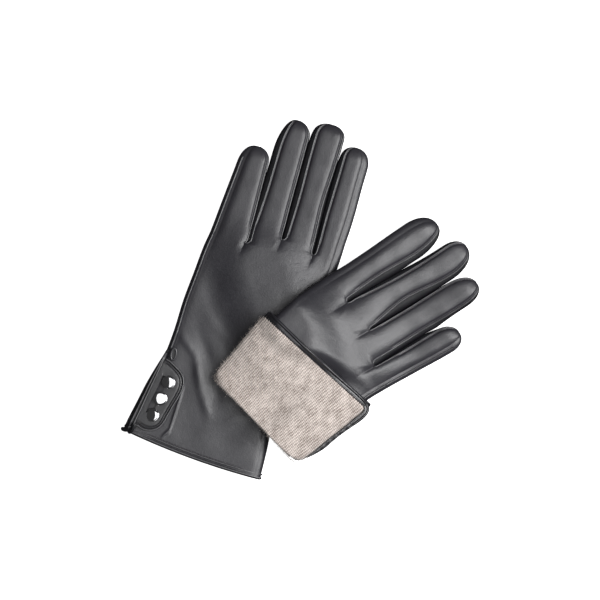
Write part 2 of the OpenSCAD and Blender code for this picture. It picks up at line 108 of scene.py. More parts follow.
# Rows bow and slant towards the hem: (v, bow, slant)
WARP = (((0, -2.5, -3.3), (20, -1.5, -2), (40, -0.5, -1), (60, 0, 0), (200, 0, 0)),
        ((57, 0, -7.1), (76, 0, -5.5), (95, 0, -4), (120, 0, -1), (135, 0, 0), (200, 0, 0)))
HAND_HALF = 4.6                 # half of a flattened hand's thickness
FINGER_HALF = 5.0               # half of a finger's
THUMB_HALF = 3.0                # half of a tucked thumb's
THUMB_RISE = 6.3                # how far a tucked thumb lifts the palm
WALL = 1.85                     # leather, lining and the little slack between them
TURNED_OUT = 1.0 + WALL         # how far the turned cuff's outside stands off the hand's leather
# The left glove's edge, as a place and a direction off it, where the right one slopes down
LEFT_EDGE, OFF_LEFT = np.array([2.0, -40.0]), np.array([0.932, -0.362])
# The row's origin, measured as LEFT_EDGE is: from the middle of the camera's view
CENTRE = np.array([0.35, 0.23])


def _plan_axes(g):
    """Unit vectors of u and v in the row's XY plane, and where the plan begins, from the hinges."""
    axis = np.array(JOINTS[f"{SIDES[g]}_middle_bend"]["axis"])[:2] * MIRROR[g]
    along_u = axis / np.linalg.norm(axis)
    along_v = MIRROR[g] * np.array([-along_u[1], along_u[0]])
    f = FINGERS[g][MIDDLE]
    return along_u, along_v, HINGE[g][MIDDLE][:2] - f[0] * along_u - f[1] * along_v


PLAN = [_plan_axes(g) for g in (LEFT, RIGHT)]


def place(g, u, v):
    """Where a point of the plan is in the row."""
    a, b, o = PLAN[g]
    u, v = np.asarray(u, float), np.asarray(v, float)
    return o + u[..., None] * a + v[..., None] * b


def plan_of(g, p):
    """The (u, v) of a point of the row."""
    a, b, o = PLAN[g]
    return (p - o) @ a, (p - o) @ b


def smooth(x):
    """A soft step from 0 to 1."""
    t = np.clip(x, 0, 1)
    return t * t * (3 - 2 * t)


def mix(a, b, t):
    return a + (b - a) * t


def curve(points, x):
    """A smooth curve through a few (x, y) points, straight beyond its ends."""
    p = np.array(points, float)
    xs, ys = p[:, 0], p[:, 1]
    slope = np.gradient(ys, xs)
    x = np.asarray(x, float)
    i = np.clip(np.searchsorted(xs, x) - 1, 0, len(xs) - 2)
    w = xs[i + 1] - xs[i]
    t = np.clip((x - xs[i]) / w, 0, 1)
    a, b = slope[i] * w, slope[i + 1] * w
    y = (2 * t**3 - 3 * t**2 + 1) * ys[i] + (t**3 - 2 * t**2 + t) * a + (3 * t**2 - 2 * t**3) * ys[i + 1] \
        + (t**3 - t**2) * b
    over = np.where(x < xs[0], x - xs[0], np.where(x > xs[-1], x - xs[-1], 0))
    return y + over * np.where(x < xs[0], slope[0], slope[-1])


def spline(points, step):
    """Points about a step apart on a smooth curve through a few points."""
    p = np.asarray(points, float)
    s = np.concatenate([[0], np.cumsum(np.linalg.norm(np.diff(p, axis=0), axis=1))])
    at = np.linspace(0, s[-1], int(s[-1] / step) + 1)
    return np.stack([curve(tuple(zip(s, p[:, i])), at) for i in range(p.shape[1])], -1)


def to_segment(u, v, a, b):
    """Distance from (u, v) to a segment, and how far along it (0 to 1) the nearest point is."""
    d = np.array([b[0] - a[0], b[1] - a[1]], float)
    t = np.clip(((u - a[0]) * d[0] + (v - a[1]) * d[1]) / (d @ d), 0, 1)
    return np.hypot(u - a[0] - t * d[0], v - a[1] - t * d[1]), t


def thumb_away(g, u, v):
    """Distance from the line down the middle of the tucked thumb."""
    t = THUMBS[g]
    return to_segment(u, v, t[0:2], t[2:4])[0]


def table(g, u, v):
    """What the glove lies on: the surface, or the left glove's back and the slope down off it."""
    u, v = np.broadcast_arrays(np.asarray(u, float), np.asarray(v, float))
    if g == LEFT:
        return np.zeros(u.shape)
    p = place(g, u, v)
    on_left = 2 * HAND_HALF + 0.4 + THUMB_RISE * smooth((50 - thumb_away(LEFT, *plan_of(LEFT, p))) / 34)
    return on_left * (1 - smooth(((p + CENTRE - LEFT_EDGE) @ OFF_LEFT + 3) / 85))


def over_thumb(g, u, v):
    """How much of the thumb's rise the hand's underside takes, 0 to 1."""
    return smooth((28 - thumb_away(g, u, v)) / 16) * (1 - smooth((v - 148) / 26))


def lift(g, u, v):
    """How high the hand's underside lies."""
    rise = THUMB_RISE * over_thumb(g, u, v)
    wrap = 0.6 * (1 - smooth((v - 5) / 12)) if g == LEFT else 3.55 * (1 - smooth((v - 124) / 20))
    return table(g, u, v) + rise + wrap


def eased(g, u, v):
    """How much softer than the underside the back rises over the thumb."""
    over = smooth((v - 122) / 16) if g == RIGHT else 1
    back = smooth((46 - thumb_away(g, u, v)) / 34) * (1 - smooth((v - 130) / 72))
    return THUMB_RISE * over * (back - over_thumb(g, u, v))


# ---- outlines of hand and fingers
def tip_round(g, f, v, length, power=2.25):
    """How much a finger keeps at v: 1 along it, falling to 0 over the length of its tip."""
    x = np.clip((v - (FINGERS[g][f][3] - length)) / length, 0, 1)
    return (1 - x**power) ** (1 / power)


def thinning(g, f, v):
    """How much of its thickness a finger keeps at v."""
    return tip_round(g, f, v, 10.5, 2.1)


def finger_lines(g, f, v):
    """u of the little side, its seam, the fore side's seam and the fore side, without crotches."""
    F = FINGERS[g][f]
    t = (v - F[1]) / (F[3] - F[1])
    q = np.clip(t, 0, 1)
    mid = mix(F[0], F[2], t) + F[6] * 4 * q * (1 - q)
    half = mix(F[4], F[5], q)
    thirds = (0, 1 / 3, 2 / 3, 1)
    out_little, out_fore, in_little, in_fore = (curve(tuple(zip(thirds, d)), q) for d in DRESS[g][f])
    caps = [tip_round(g, f, v, length) for length in TIPS[g][f]]
    little, fore = half + out_little, half + out_fore
    return (mid - caps[0] * little, mid - caps[0] * (little - in_little),
            mid + caps[1] * (fore - in_fore), mid + caps[1] * fore)


def outer_edge(g, fore, v):
    """The hand's outline on one side, carried on into the outer finger."""
    f = INDEX if fore else LITTLE
    edge = (FORE_EDGE if fore else LITTLE_EDGE)[g]
    v0 = FINGERS[g][f][1] + 4
    hand = curve(edge + tuple((x, float(finger_lines(g, f, np.array(x))[3 if fore else 0]))
                              for x in (v0 + 8, v0 + 20)), np.minimum(v, v0 + 12))
    return mix(hand, finger_lines(g, f, v)[3 if fore else 0], smooth((v - v0) / 10))


def boundary(g, k, v):
    """The line on the hand that runs down from crotch k, which its two fingers share."""
    uc, vc = CROTCHES[g][k]
    lo, hi = outer_edge(g, False, np.array(vc)), outer_edge(g, True, np.array(vc))
    share = (uc - lo) / (hi - lo)
    return mix(outer_edge(g, False, v), outer_edge(g, True, v), share)


EYE = 4.0                       # how far above a crotch its seams have parted
FLATNESS = (4.2, 2.8)           # the left glove is pressed flatter than the right one
EDGE = 5.0                      # width of the rounded edge where there is no seam
DITCH = 1.25                    # how far beside a seam its stitched ditch is


def parting(g, k, v):
    """0 at and below crotch k, rising round its eye to 1."""
    x = np.clip((v - CROTCHES[g][k][1]) / EYE, 0, 1)
    return np.sqrt(x * (2 - x))


def touching(g, k, v, side):
    """A finger's side, drawn to the line it shares with its neighbour until the two come apart."""
    apart, whole = PARTED[g][k]
    return mix(curve(GAPS[g][k], v), side, smooth((v - apart) / (whole - apart)))


def lines(g, f, v):
    """(little side, its top seam, fore top seam, fore side) of finger f's share of the glove at v."""
    lo, seam_lo, seam_hi, hi = finger_lines(g, f, v)
    if f != LITTLE:
        lo = touching(g, f, v, lo)
    if f != INDEX:
        hi = touching(g, f - 1, v, hi)
    if f == LITTLE:
        lo = outer_edge(g, False, v)
        seam_lo = lo + EDGE * tip_round(g, f, v, TIPS[g][f][0])
    else:
        q, b = parting(g, f, v), boundary(g, f, np.minimum(v, CROTCHES[g][f][1]))
        lo, seam_lo = mix(b, lo, q), mix(b, seam_lo, q)
    if f == INDEX:
        hi = outer_edge(g, True, v)
        seam_hi = hi - EDGE * tip_round(g, f, v, TIPS[g][f][1])
    else:
        q, b = parting(g, f - 1, v), boundary(g, f - 1, np.minimum(v, CROTCHES[g][f - 1][1]))
        hi, seam_hi = mix(b, hi, q), mix(b, seam_hi, q)
    return lo, seam_lo, seam_hi, hi


def warped(g, u, v):
    """v as it lies, where rows bow and slant towards the hem."""
    w = np.array(WARP[g], float)
    bow, slant = np.interp(v, w[:, 0], w[:, 1]), np.interp(v, w[:, 0], w[:, 2])
    lo, hi = outer_edge(g, False, v), outer_edge(g, True, v)
    c = np.clip((2 * u - lo - hi) / (hi - lo), -1, 1)
    return v + bow * (1 - c * c) + slant * c


# ---- the leather's relief
# Soft folds of the back: (u, v) to (u, v), width, height. First the left glove's wrist and crotches,
# then the right glove's crotches and the hollows beside its turned cuff.
FOLDS = (
    ((-21.8, 44, -22.6, 9, 0.9, 0.7), (-22.6, 12, -26.5, 5, 0.9, 0.6), (-36, 82, -20, 68, 3.0, 0.8),
     (-20, 68, -9, 45, 3.0, 1.0), (-9, 45, 2, 29, 3.2, 0.8), (-24, 88, -4, 60, 4.5, -0.8),
     (-4, 60, 6, 38, 5.0, -0.8), (12, 26, 30, 40, 4.0, 0.5), (-22, 100, 0, 84, 4.0, 0.4),
     (34, 20, 42, 44, 7.0, 0.9),
     (-9.1, 155, -9.6, 151, 1.2, -0.2), (-13, 156, -14, 151, 1.2, 0.15), (15.7, 164, 15.4, 160, 1.2, -0.2),
     (12.5, 164, 11.5, 159, 1.2, 0.15), (40.4, 160, 40.1, 156, 1.2, -0.2), (37, 160, 36, 155, 1.2, 0.15)),
    ((-14.8, 147, -13.8, 140, 1.3, -0.3), (-12, 146, -8, 139, 1.2, 0.2), (8.9, 158, 9.3, 150, 1.3, -0.3),
     (11.8, 157, 15, 150, 1.2, 0.2), (34.4, 156, 34, 148, 1.3, -0.3), (31.6, 155, 28, 148, 1.2, 0.2),
     (-30, 132, 10, 134, 5.0, -0.5), (10, 134, 46, 122, 5.0, -0.4)))


def relief(g, u, v):
    """How far the back stands proud of its plain form."""
    z = np.zeros(np.shape(u))
    for u0, v0, u1, v1, width, height in FOLDS[g]:
        away, t = to_segment(u, v, (u0, v0), (u1, v1))
        z += height * np.exp(-(away / width) ** 2) * np.sin(np.pi * (0.1 + 0.8 * t))
    z += 0.16 * np.sin(u * 0.23 + 0.8 * np.sin(v * 0.05)) * np.sin(v * 0.09 + g) * smooth((150 - v) / 30)
    z += 0.10 * np.sin(v * 0.33 + 0.7 * np.sin(u * 0.21) + g) * smooth((v - 170) / 20)
    return z


def valley(g, f, fore, v):
    """How far (as a share of the half thickness) a share's top falls at one of its sides."""
    if (fore and f == INDEX) or (not fore and f == LITTLE):
        return mix(0.10, 0.34, smooth((v - 140) / 30))
    vc = CROTCHES[g][f - 1 if fore else f][1]
    run = (14, 22)[g]
    return 0.40 * smooth((v - vc + run) / (run + 2)) ** 1.6


TOP_COLUMNS, WALL_COLUMNS = 38, 13
_even = np.linspace(-1, 1, TOP_COLUMNS)
ACROSS = 0.45 * _even + 0.55 * np.sin(_even * np.pi / 2)


def section(g, f, v):
    """Finger f's share of the glove at v: its top, fore wall, underside and little wall as (n, 3)."""
    lo, seam_lo, seam_hi, hi = (float(x) for x in lines(g, f, np.array(float(v))))
    thin = float(thinning(g, f, np.array(float(v))))
    half = mix(HAND_HALF, FINGER_HALF, float(smooth((v - 140) / 25)))
    u = mix(seam_lo, seam_hi, (ACROSS + 1) / 2)
    vv = warped(g, u, np.full(u.shape, float(v)))
    fall_lo, fall_hi = float(valley(g, f, False, v)), float(valley(g, f, True, v))
    near, far = (np.clip(way * ACROSS, 0, 1) ** FLATNESS[g] for way in (-1, 1))
    crown = 1 - fall_lo * near - fall_hi * far
    level = lift(g, u, vv) + half
    ditch = 0
    seams = smooth((v - 165) / 8) * thin
    for side, at in ((f != LITTLE, seam_lo), (f != INDEX, seam_hi)):
        if side:
            ditch = ditch + 0.85 * np.exp(-((np.abs(u - at) - DITCH) / 0.52) ** 2)
    back = level + eased(g, u, vv) + half * thin * crown
    top = np.stack([u, vv, back + relief(g, u, vv) * thin - ditch * seams], -1)
    under = np.stack([u, vv, level - half * thin * (1 - 0.8 * (1 - crown))], -1)[::-1]

    def wall(edge_top, edge_under, side):
        theta = np.linspace(0, np.pi, WALL_COLUMNS)
        wu = edge_top[0] + (side - edge_top[0]) * np.sin(theta)
        wv = warped(g, wu, np.full(wu.shape, float(v)))
        zm = (edge_top[2] + edge_under[2]) / 2
        return np.stack([wu, wv, zm + (edge_top[2] - zm) * np.cos(theta)], -1)

    return top, wall(top[-1], under[0], hi), under, wall(top[0], under[-1], lo)[::-1]


# ---- meshes
class Sheets:
    """Grids of quads that are welded where their points meet, each with a name."""

    def __init__(self):
        self.points, self.quads, self.names, self.count = [], [], [], 0

    def grid(self, name, rows, flip):
        rows = np.asarray(rows, float)
        m, n = rows.shape[:2]
        k = self.count + np.arange(m * n).reshape(m, n)
        q = np.stack([k[:-1, :-1], k[:-1, 1:], k[1:, 1:], k[1:, :-1]], -1).reshape(-1, 4)
        self.points.append(rows.reshape(-1, 3))
        self.quads.append(q[:, ::-1] if flip else q)
        self.names += [name] * len(q)
        self.count += m * n

    def welded(self):
        points = np.concatenate(self.points)
        _, first, into = np.unique(np.round(points, 4), axis=0, return_index=True, return_inverse=True)
        points, quads = points[first], into.reshape(-1)[np.concatenate(self.quads)]
        a = points[quads]
        normal = np.cross(a[:, 2] - a[:, 0], a[:, 3] - a[:, 1])
        vertex = np.zeros_like(points)
        for j in range(4):
            np.add.at(vertex, quads[:, j], normal)
        vertex /= np.maximum(np.linalg.norm(vertex, axis=1), 1e-12)[:, None]
        return points, quads, vertex, np.array(self.names)


def grid_faces(m, n, around=False, flip=False, wrap=None):
    """Quads of m rows of n points. Rows may close on themselves (around) or repeat after wrap rows."""
    faces = []
    for i in range(m - 1):
        a, b = i * n, (i + 1) % (wrap or m) * n
        for j in range(n if around else n - 1):
            k = (j + 1) % n
            quad = (a + j, a + k, b + k, b + j)
            faces.append(quad[::-1] if flip else quad)
    return faces


def mesh_object(name, points, faces, material, normals=None):
    """A smooth mesh in metres from points in millimetres; faces that have collapsed are dropped."""
    clean = []
    for face in faces:
        kept = [x for i, x in enumerate(face) if x != face[i - 1]]
        if len(kept) >= 3 and len(set(kept)) == len(kept):
            clean.append(kept)
    used = np.unique(np.concatenate([np.array(c) for c in clean]))
    again = np.full(len(points), -1)
    again[used] = np.arange(len(used))
    data = bpy.data.meshes.new(name)
    faces = [[int(again[x]) for x in c] for c in clean]
    data.from_pydata((np.asarray(points)[used] * MM).tolist(), [], faces)
    data.validate()
    data.polygons.foreach_set("use_smooth", [True] * len(data.polygons))
    if normals is not None:
        data.normals_split_custom_set_from_vertices(normals[used].tolist())
    obj = bpy.data.objects.new(name, data)
    bpy.context.scene.collection.objects.link(obj)
    data.materials.append(material)
    return obj


def tube(path, radius, sides=8, closed=False):
    """Points and faces of a tube along a path of points in millimetres, with rounded ends."""
    path = np.asarray(path, float)
    n = len(path)
    radii = np.full(n, float(radius)) if np.isscalar(radius) else np.asarray(radius, float)
    along = np.roll(path, -1, 0) - np.roll(path, 1, 0) if closed else np.gradient(path, axis=0)
    along /= np.maximum(np.linalg.norm(along, axis=1), 1e-9)[:, None]
    side = np.cross(along, [0, 0, 1.0])
    side /= np.maximum(np.linalg.norm(side, axis=1), 1e-9)[:, None]
    up = np.cross(side, along)
    a = np.arange(sides) * 2 * np.pi / sides
    ring = side[:, None] * np.cos(a)[None, :, None] + up[:, None] * np.sin(a)[None, :, None]
    ring = radii[:, None, None] * ring
    points = (path[:, None] + ring).reshape(-1, 3)
    faces = grid_faces(n + closed, sides, around=True, wrap=n)
    if not closed:
        faces += [tuple(range(sides))[::-1], tuple((n - 1) * sides + j for j in range(sides))]
    return points, faces


def joined(parts):
    """Several (points, faces) as one."""
    points, faces, count = [], [], 0
    for p, f in parts:
        points.append(p)
        faces += [tuple(x + count for x in face) for face in f]
        count += len(p)
    return np.concatenate(points), faces


def resampled(path, step):
    """Points about a step apart along a path."""
    path = np.asarray(path, float)
    s = np.concatenate([[0], np.cumsum(np.linalg.norm(np.diff(path, axis=0), axis=1))])
    at = np.linspace(0, s[-1], max(2, int(round(s[-1] / step)) + 1))
    return np.stack([np.interp(at, s, path[:, i]) for i in range(3)], -1)


def stitches(path, pitch=2.5, long=1.7, radius=0.2, sink=0.04):
    """A row of thread stitches, each bedded at its ends, along a path on the leather."""
    path = resampled(path, pitch)
    parts = []
    for a, b in zip(path[:-1], path[1:]):
        t = np.linspace(0, 1, 5)
        run = a + (b - a) * (0.5 + (t[:, None] - 0.5) * long / pitch)
        run[:, 2] += 0.16 * np.sin(np.pi * t) - sink
        parts.append(tube(run, radius * np.array([0.5, 0.95, 1, 0.95, 0.5]), 6))
    return parts


# ---- materials
WALE, STITCH = 1.65, 1.3        # distances between two ribs of the knit, and two stitches of a rib


class Look:
    """A material and its nodes, made around its principled shader."""

    def __init__(self, name, **values):
        self.material = bpy.data.materials.new(name)
        self.material.use_nodes = True
        self.nodes, self.links = self.material.node_tree.nodes, self.material.node_tree.links
        self.shader = self.nodes["Principled BSDF"].inputs
        for socket, value in values.items():
            self.shader[socket.replace("_", " ")].default_value = value

    def node(self, kind, **values):
        """A new node; its values are numbers, or outputs to link from."""
        n = self.nodes.new(f"ShaderNode{kind}")
        for socket, value in values.items():
            self.join(value, n.inputs[socket.replace("_", " ")])
        return n

    def join(self, value, socket):
        if isinstance(value, bpy.types.NodeSocket):
            self.links.new(value, socket)
        else:
            socket.default_value = value

    def tint(self, shade, stops, colours):
        """Base colour that runs between two colours, between two shades."""
        ramp = self.node("ValToRGB", Fac=shade)
        for element, stop, colour in zip(ramp.color_ramp.elements, stops, colours):
            element.position = stop
            element.color = (*colour, 1)
        self.join(ramp.outputs["Color"], self.shader["Base Color"])

    def gloss(self, shade, low, high):
        """Roughness that varies between two values."""
        spread = self.node("MapRange", Value=shade, To_Min=low, To_Max=high)
        self.join(spread.outputs["Result"], self.shader["Roughness"])

    def bumps(self, *layers):
        """Bumps laid one over the other: (height, strength, depth in metres) of each."""
        last = {}
        for height, strength, depth in layers:
            bump = self.node("Bump", Height=height, Strength=strength, Distance=depth, **last)
            last = {"Normal": bump.outputs["Normal"]}
        self.join(last["Normal"], self.shader["Normal"])


def leather_material(name, dark, light, grain=1.0, rough=0.40, shine=0.55):
    """Dyed nappa: fine pebbled grain, cloudy dye, small wrinkles and a soft even gloss."""
    look = Look(name, Specular_IOR_Level=shine)
    where = look.node("TexCoord").outputs["Object"]

    def noise(scale, detail=4, roughness=0.6):
        n = look.node("TexNoise", Vector=where, Scale=scale, Detail=detail, Roughness=roughness)
        return n.outputs["Fac"]

    pebbles = look.node("TexVoronoi", Vector=where, Scale=1150).outputs["Distance"]
    look.tint(noise(55), (0.32, 0.70), (dark, light))
    look.gloss(noise(420), rough - 0.07, rough + 0.09)
    look.bumps((pebbles, 0.30 * grain, 0.00010), (noise(2300), 0.30 * grain, 0.00008),
               (noise(260, 6, 0.65), 0.30, 0.00035), (noise(90, 3), 0.25, 0.0008))
    return look.material


def wale_across(u, v, maths):
    """Place across the turned cuff's ribs, which fan out to its hem, in millimetres at the fold."""
    low = maths("MULTIPLY_ADD", v, 0.07, -47.4)
    wide = maths("MULTIPLY_ADD", v, 0.20, 76.4)
    return maths("MULTIPLY", maths("DIVIDE", maths("SUBTRACT", u, low), wide), 88.0)


def knit_material(name, g, dark, light):
    """Soft wool knit: fine ribs along the glove with painted shade in the gaps between ribs and stitches, melange
    wool and a fuzzy sheen.
    """
    look = Look(name, Roughness=0.95, Specular_IOR_Level=0.15, Sheen_Weight=0.5, Sheen_Roughness=0.6)
    heading = -math.atan2(PLAN[g][1][1], PLAN[g][1][0])
    where = look.node("TexCoord").outputs["Object"]
    turned = look.node("Mapping", Vector=where, Rotation=(0, 0, heading)).outputs["Vector"]

    def noise(scale, stretch=(1, 1, 1)):
        stretched = look.node("Mapping", Vector=turned, Scale=stretch).outputs["Vector"]
        return look.node("TexNoise", Vector=stretched, Scale=scale, Detail=3).outputs["Fac"]

    def maths(operation, *values):
        n = look.node("Math")
        n.operation = operation
        for socket, value in zip(n.inputs, values):
            look.join(value, socket)
        return n.outputs[0]

    parts = look.node("SeparateXYZ", Vector=turned).outputs
    along_u, along_v, begin = PLAN[g]
    way = 1.0 if along_u @ np.array([-along_v[1], along_v[0]]) > 0 else -1.0
    u = maths("MULTIPLY_ADD", parts["Y"], way / MM, float(-begin @ along_u))
    v = maths("MULTIPLY_ADD", parts["X"], 1 / MM, float(-begin @ along_v))
    rib = wale_across(u, v, maths) if g == RIGHT else u
    wobble = maths("MULTIPLY", noise(70), 1.1)
    between = maths("ABSOLUTE", maths("SINE", maths("MULTIPLY_ADD", rib, math.pi / WALE, wobble)))
    along = maths("MULTIPLY_ADD", v, 2 * math.pi / STITCH, maths("MULTIPLY", wobble, 3.0))
    chain = maths("SINE", maths("ADD", along, maths("MULTIPLY", between, 2.4)))
    # 0 in the gaps between ribs and stitches, where shade is painted, 1 on the wool
    yarn_vs_gap_shade = maths("MULTIPLY_ADD", chain, 0.19, maths("MULTIPLY_ADD", between, 0.33, 0.22))
    clouds = maths("MULTIPLY_ADD", noise(140), 0.50, -0.25)
    flecks = maths("MULTIPLY_ADD", noise(1300, (0.35, 1, 1)), 0.55, clouds)
    look.tint(maths("MULTIPLY_ADD", yarn_vs_gap_shade, 0.72, flecks), (0.33, 0.80), (dark, light))
    look.bumps((noise(1500, (0.4, 1, 1)), 0.7, 0.0003), (noise(4200), 0.7, 0.00012))
    return look.material


def metal_material(name, colour, rough, scratch):
    """Plated metal with faint hairline wear."""
    look = Look(name, Base_Color=(*colour, 1), Metallic=1)
    look.gloss(look.node("TexNoise", Scale=900).outputs["Fac"], rough, rough + scratch)
    return look.material


def thread_material(name, colour):
    """Waxed thread, painted a little lighter in bands along its twist: a painted highlight where it turns up to
    the light.
    """
    look = Look(name, Roughness=0.6)
    strand_highlights = look.node("TexWave", Scale=900, Distortion=2).outputs["Fac"]
    look.tint(strand_highlights, (0, 1), (colour, [c * 1.8 for c in colour]))
    return look.material


# Leathers: (darkest dye, lightest dye, grain, roughness, shine). The fourchette leather's dark dye is painted
# shade between the fingers; the edge and rim leathers are dyed lighter as painted highlights.
LEATHERS = {
    "leather": ((0.022, 0.0213, 0.026), (0.032, 0.0311, 0.037), 1.5, 0.38, 0.6),
    "flap_leather": ((0.010, 0.010, 0.012), (0.017, 0.0166, 0.020), 1.3, 0.36, 0.62),
    "binding_leather": ((0.014, 0.0137, 0.017), (0.022, 0.0215, 0.026), 0.8, 0.31, 0.8),
    # painted shade: the fourchettes are far darker than the back's leather, for the shade in the gaps between the
    # fingers
    "fourchette_leather": ((0.008, 0.008, 0.010), (0.013, 0.013, 0.015), 0.9, 0.5, 0.22),
    "backing_leather": ((0.016, 0.016, 0.018), (0.024, 0.024, 0.027), 1.2, 0.6),
    # painted highlight: lighter than the back's leather, so seam ridges and the vent loop read as bright lines
    "edge_leather": ((0.034, 0.033, 0.038), (0.050, 0.049, 0.055), 0.5, 0.30, 0.85),
    # painted highlight: much lighter than the back's leather, for bright lines along rolled rims and ridges
    "rim_leather": ((0.085, 0.084, 0.090), (0.125, 0.123, 0.130), 0.5, 0.30, 0.9)}
LOOKS = {name: leather_material(name, *values) for name, values in LEATHERS.items()}
LOOKS["cap_metal"] = metal_material("cap_metal", (0.88, 0.88, 0.90), 0.03, 0.05)
LOOKS["snap_metal"] = metal_material("snap_metal", (0.62, 0.62, 0.64), 0.28, 0.14)
LOOKS["thread"] = thread_material("thread", (0.008, 0.008, 0.009))
# The deepest colour is painted shade in the gaps between the knit's ribs and stitches as well as the darkest
# melange wool.
YARN_AND_GAP_SHADE = (0.17, 0.132, 0.110), (0.77, 0.685, 0.635)    # deepest and lightest wool
knits = [knit_material(f"knit_{SIDES[g]}", g, *YARN_AND_GAP_SHADE) for g in (LEFT, RIGHT)]


def made(name, mesh, slot, look=None, normals=None):
    """The object of a mesh, in the finish of its slot unless it has another look."""
    look = look or slot
    g = SIDES.index(name.split("_")[0])
    obj = mesh_object(name, *mesh, knits[g] if look == "knit_lining" else LOOKS[look], normals)
    return obj


def replacing(nodes):
    if nodes:
        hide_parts(*nodes)


def riding(obj, body, *replaced):
    """A piece that rides on one body."""
    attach(obj, body)
    replacing(replaced)


def bending(obj, g, f, *replaced):
    """A piece of finger f (f is not used): its transform is baked in and the parts it replaces are hidden."""
    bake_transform(obj)
    replacing(replaced)


def blend_span(g, f):
    """v at which a finger begins to turn (its higher crotch) and at which it has turned."""
    crotches = [CROTCHES[g][k][1] for k in (f - 1, f) if 0 <= k < 3]
    start = max(crotches)
    return start, 2 * FINGERS[g][f][1] - start


# ---- tubes round the hand
def squared(angle, power=0.65, over=1.03):
    """Cosine and sine round a rectangle with rounded corners."""
    c, s = (np.sign(x) * np.abs(x) ** power for x in (np.cos(angle), np.sin(angle)))
    return c, np.clip(over * s, -1, 1)


def hand_ring(g, v, out, angle):
    """Points round the hand at v, out millimetres outside its leather (inside where negative)."""
    lo, hi = (float(outer_edge(g, fore, np.array(v))) for fore in (False, True))
    c, s = squared(angle)
    u = (lo + hi) / 2 + ((hi - lo) / 2 + out) * c
    vv = warped(g, np.clip(u, lo, hi), np.full(u.shape, float(v)))
    return np.stack([u, vv, lift(g, u, vv) + HAND_HALF + (HAND_HALF + out) * s], -1)


def skin(rings, inside=False, around=True):
    """Points and faces of a skin over rings, or over rows of points where it doesn't go around."""
    rings = np.asarray(rings, float)
    return rings.reshape(-1, 3), grid_faces(*rings.shape[:2], around=around, flip=inside)


def to_row(g, points):
    """Points of a plan, with heights, in the row."""
    points = np.asarray(points, float)
    xy = place(g, points[..., 0], points[..., 1])
    return np.concatenate([xy, points[..., 2:3]], -1)


# ---- hands and fingers
HEM = (0.0, 57.5)               # v where each hand's skin begins: at the hem, or at the cuff's fold
ROW_STEP = 1.25


def rows_of(g, f):
    """v of every row of finger f's share: even over the hand, closing up towards the tip."""
    F = FINGERS[g][f]
    marks = [v for _, v in CROTCHES[g]] + [blend_span(g, k)[0] for k in range(4)]
    hand = np.arange(HEM[g], 175, ROW_STEP)
    hand = hand[[min(abs(h - m) for m in marks) > 0.3 for h in hand]]
    hand = np.unique(np.round(np.concatenate([hand, marks]), 3))
    radius = 11.5
    last = F[3] - radius
    finger = np.arange(math.ceil(hand[-1] + 1), last - 0.6, ROW_STEP)
    turn = np.radians([0, 8, 16, 24, 32, 40, 48, 55, 62, 68, 74, 79, 83, 86.5, 88.8, 89.8])
    tip = last + radius * np.sin(turn)
    return np.concatenate([hand, finger, tip])


seam_paths, side_seams = {}, {}
for g in (LEFT, RIGHT):
    sheets = Sheets()
    flip = g == RIGHT
    side = SIDES[g]
    for f in range(4):
        v = rows_of(g, f)
        parts = [section(g, f, x) for x in v]
        top, fore, under, little = (np.array([p[i] for p in parts]) for i in range(4))
        seam_paths[g, f] = (v, to_row(g, top[:, 0]), to_row(g, top[:, -1]))
        if f == LITTLE:
            side_seams[g] = (v, to_row(g, little[:, -3]))
        top, fore, under, little = (to_row(g, x) for x in (top, fore, under, little))
        start = int(np.argmin(abs(v - blend_span(g, f)[0])))
        for name, rows in ((f"{side}_hand_skin", slice(0, start + 1)),
                           (f"{side}_{DIGITS[f]}_skin", slice(start, None))):
            sheets.grid(name, top[rows], flip)
            sheets.grid(name, under[rows], flip)
            if f == INDEX:
                sheets.grid(name, fore[rows], flip)
            if f == LITTLE:
                sheets.grid(name, little[rows], flip)
        for wall, k in ((fore, f - 1), (little, f)):
            if 0 <= k < 3:
                first = int(np.argmin(abs(v - CROTCHES[g][k][1])))
                which = "fore" if k < f else "near"
                sheets.grid(f"{side}_{DIGITS[f]}_gusset_{which}", wall[first:], flip)
    points, quads, normals, names = sheets.welded()
    # Walls and tops are shaded apart, because a seam joins them.
    for n in sorted(set(names)):
        mesh = points, quads[names == n].tolist()
        part = n.split("_")[1]
        # The gussets take the fourchette leather, whose dark dye is painted shade between the fingers.
        if "gusset" in n:
            strip = "fourchette" if part in ("index", "little") else "fourchettes"
            bending(made(n, mesh, "fourchette_leather"), g, DIGITS.index(part), f"{side}_{part}_{strip}")
        elif part == "hand":
            riding(made(n, mesh, "leather", normals=normals), f"{side}_glove", f"{side}_trank")
        else:
            bending(made(n, mesh, "leather", normals=normals), g, DIGITS.index(part), f"{side}_{part}_stall")

# Finger linings: knitted cups a little inside the leather.
for g in (LEFT, RIGHT):
    for f in range(4):
        rings = []
        for v in rows_of(g, f)[::2]:
            if v < FINGERS[g][f][1] + 1 or v > FINGERS[g][f][3] - 2:
                continue
            ring = np.concatenate([p[:-1] for p in section(g, f, v)])
            middle = ring.mean(0)
            rings.append(to_row(g, middle + (ring - middle) * (0.84, 1, 0.70)))
        name = f"{SIDES[g]}_{DIGITS[f]}"
        cup = made(f"{name}_lining_skin", skin(rings, g == LEFT), "knit_lining")
        riding(cup, name, f"{name}_lining")

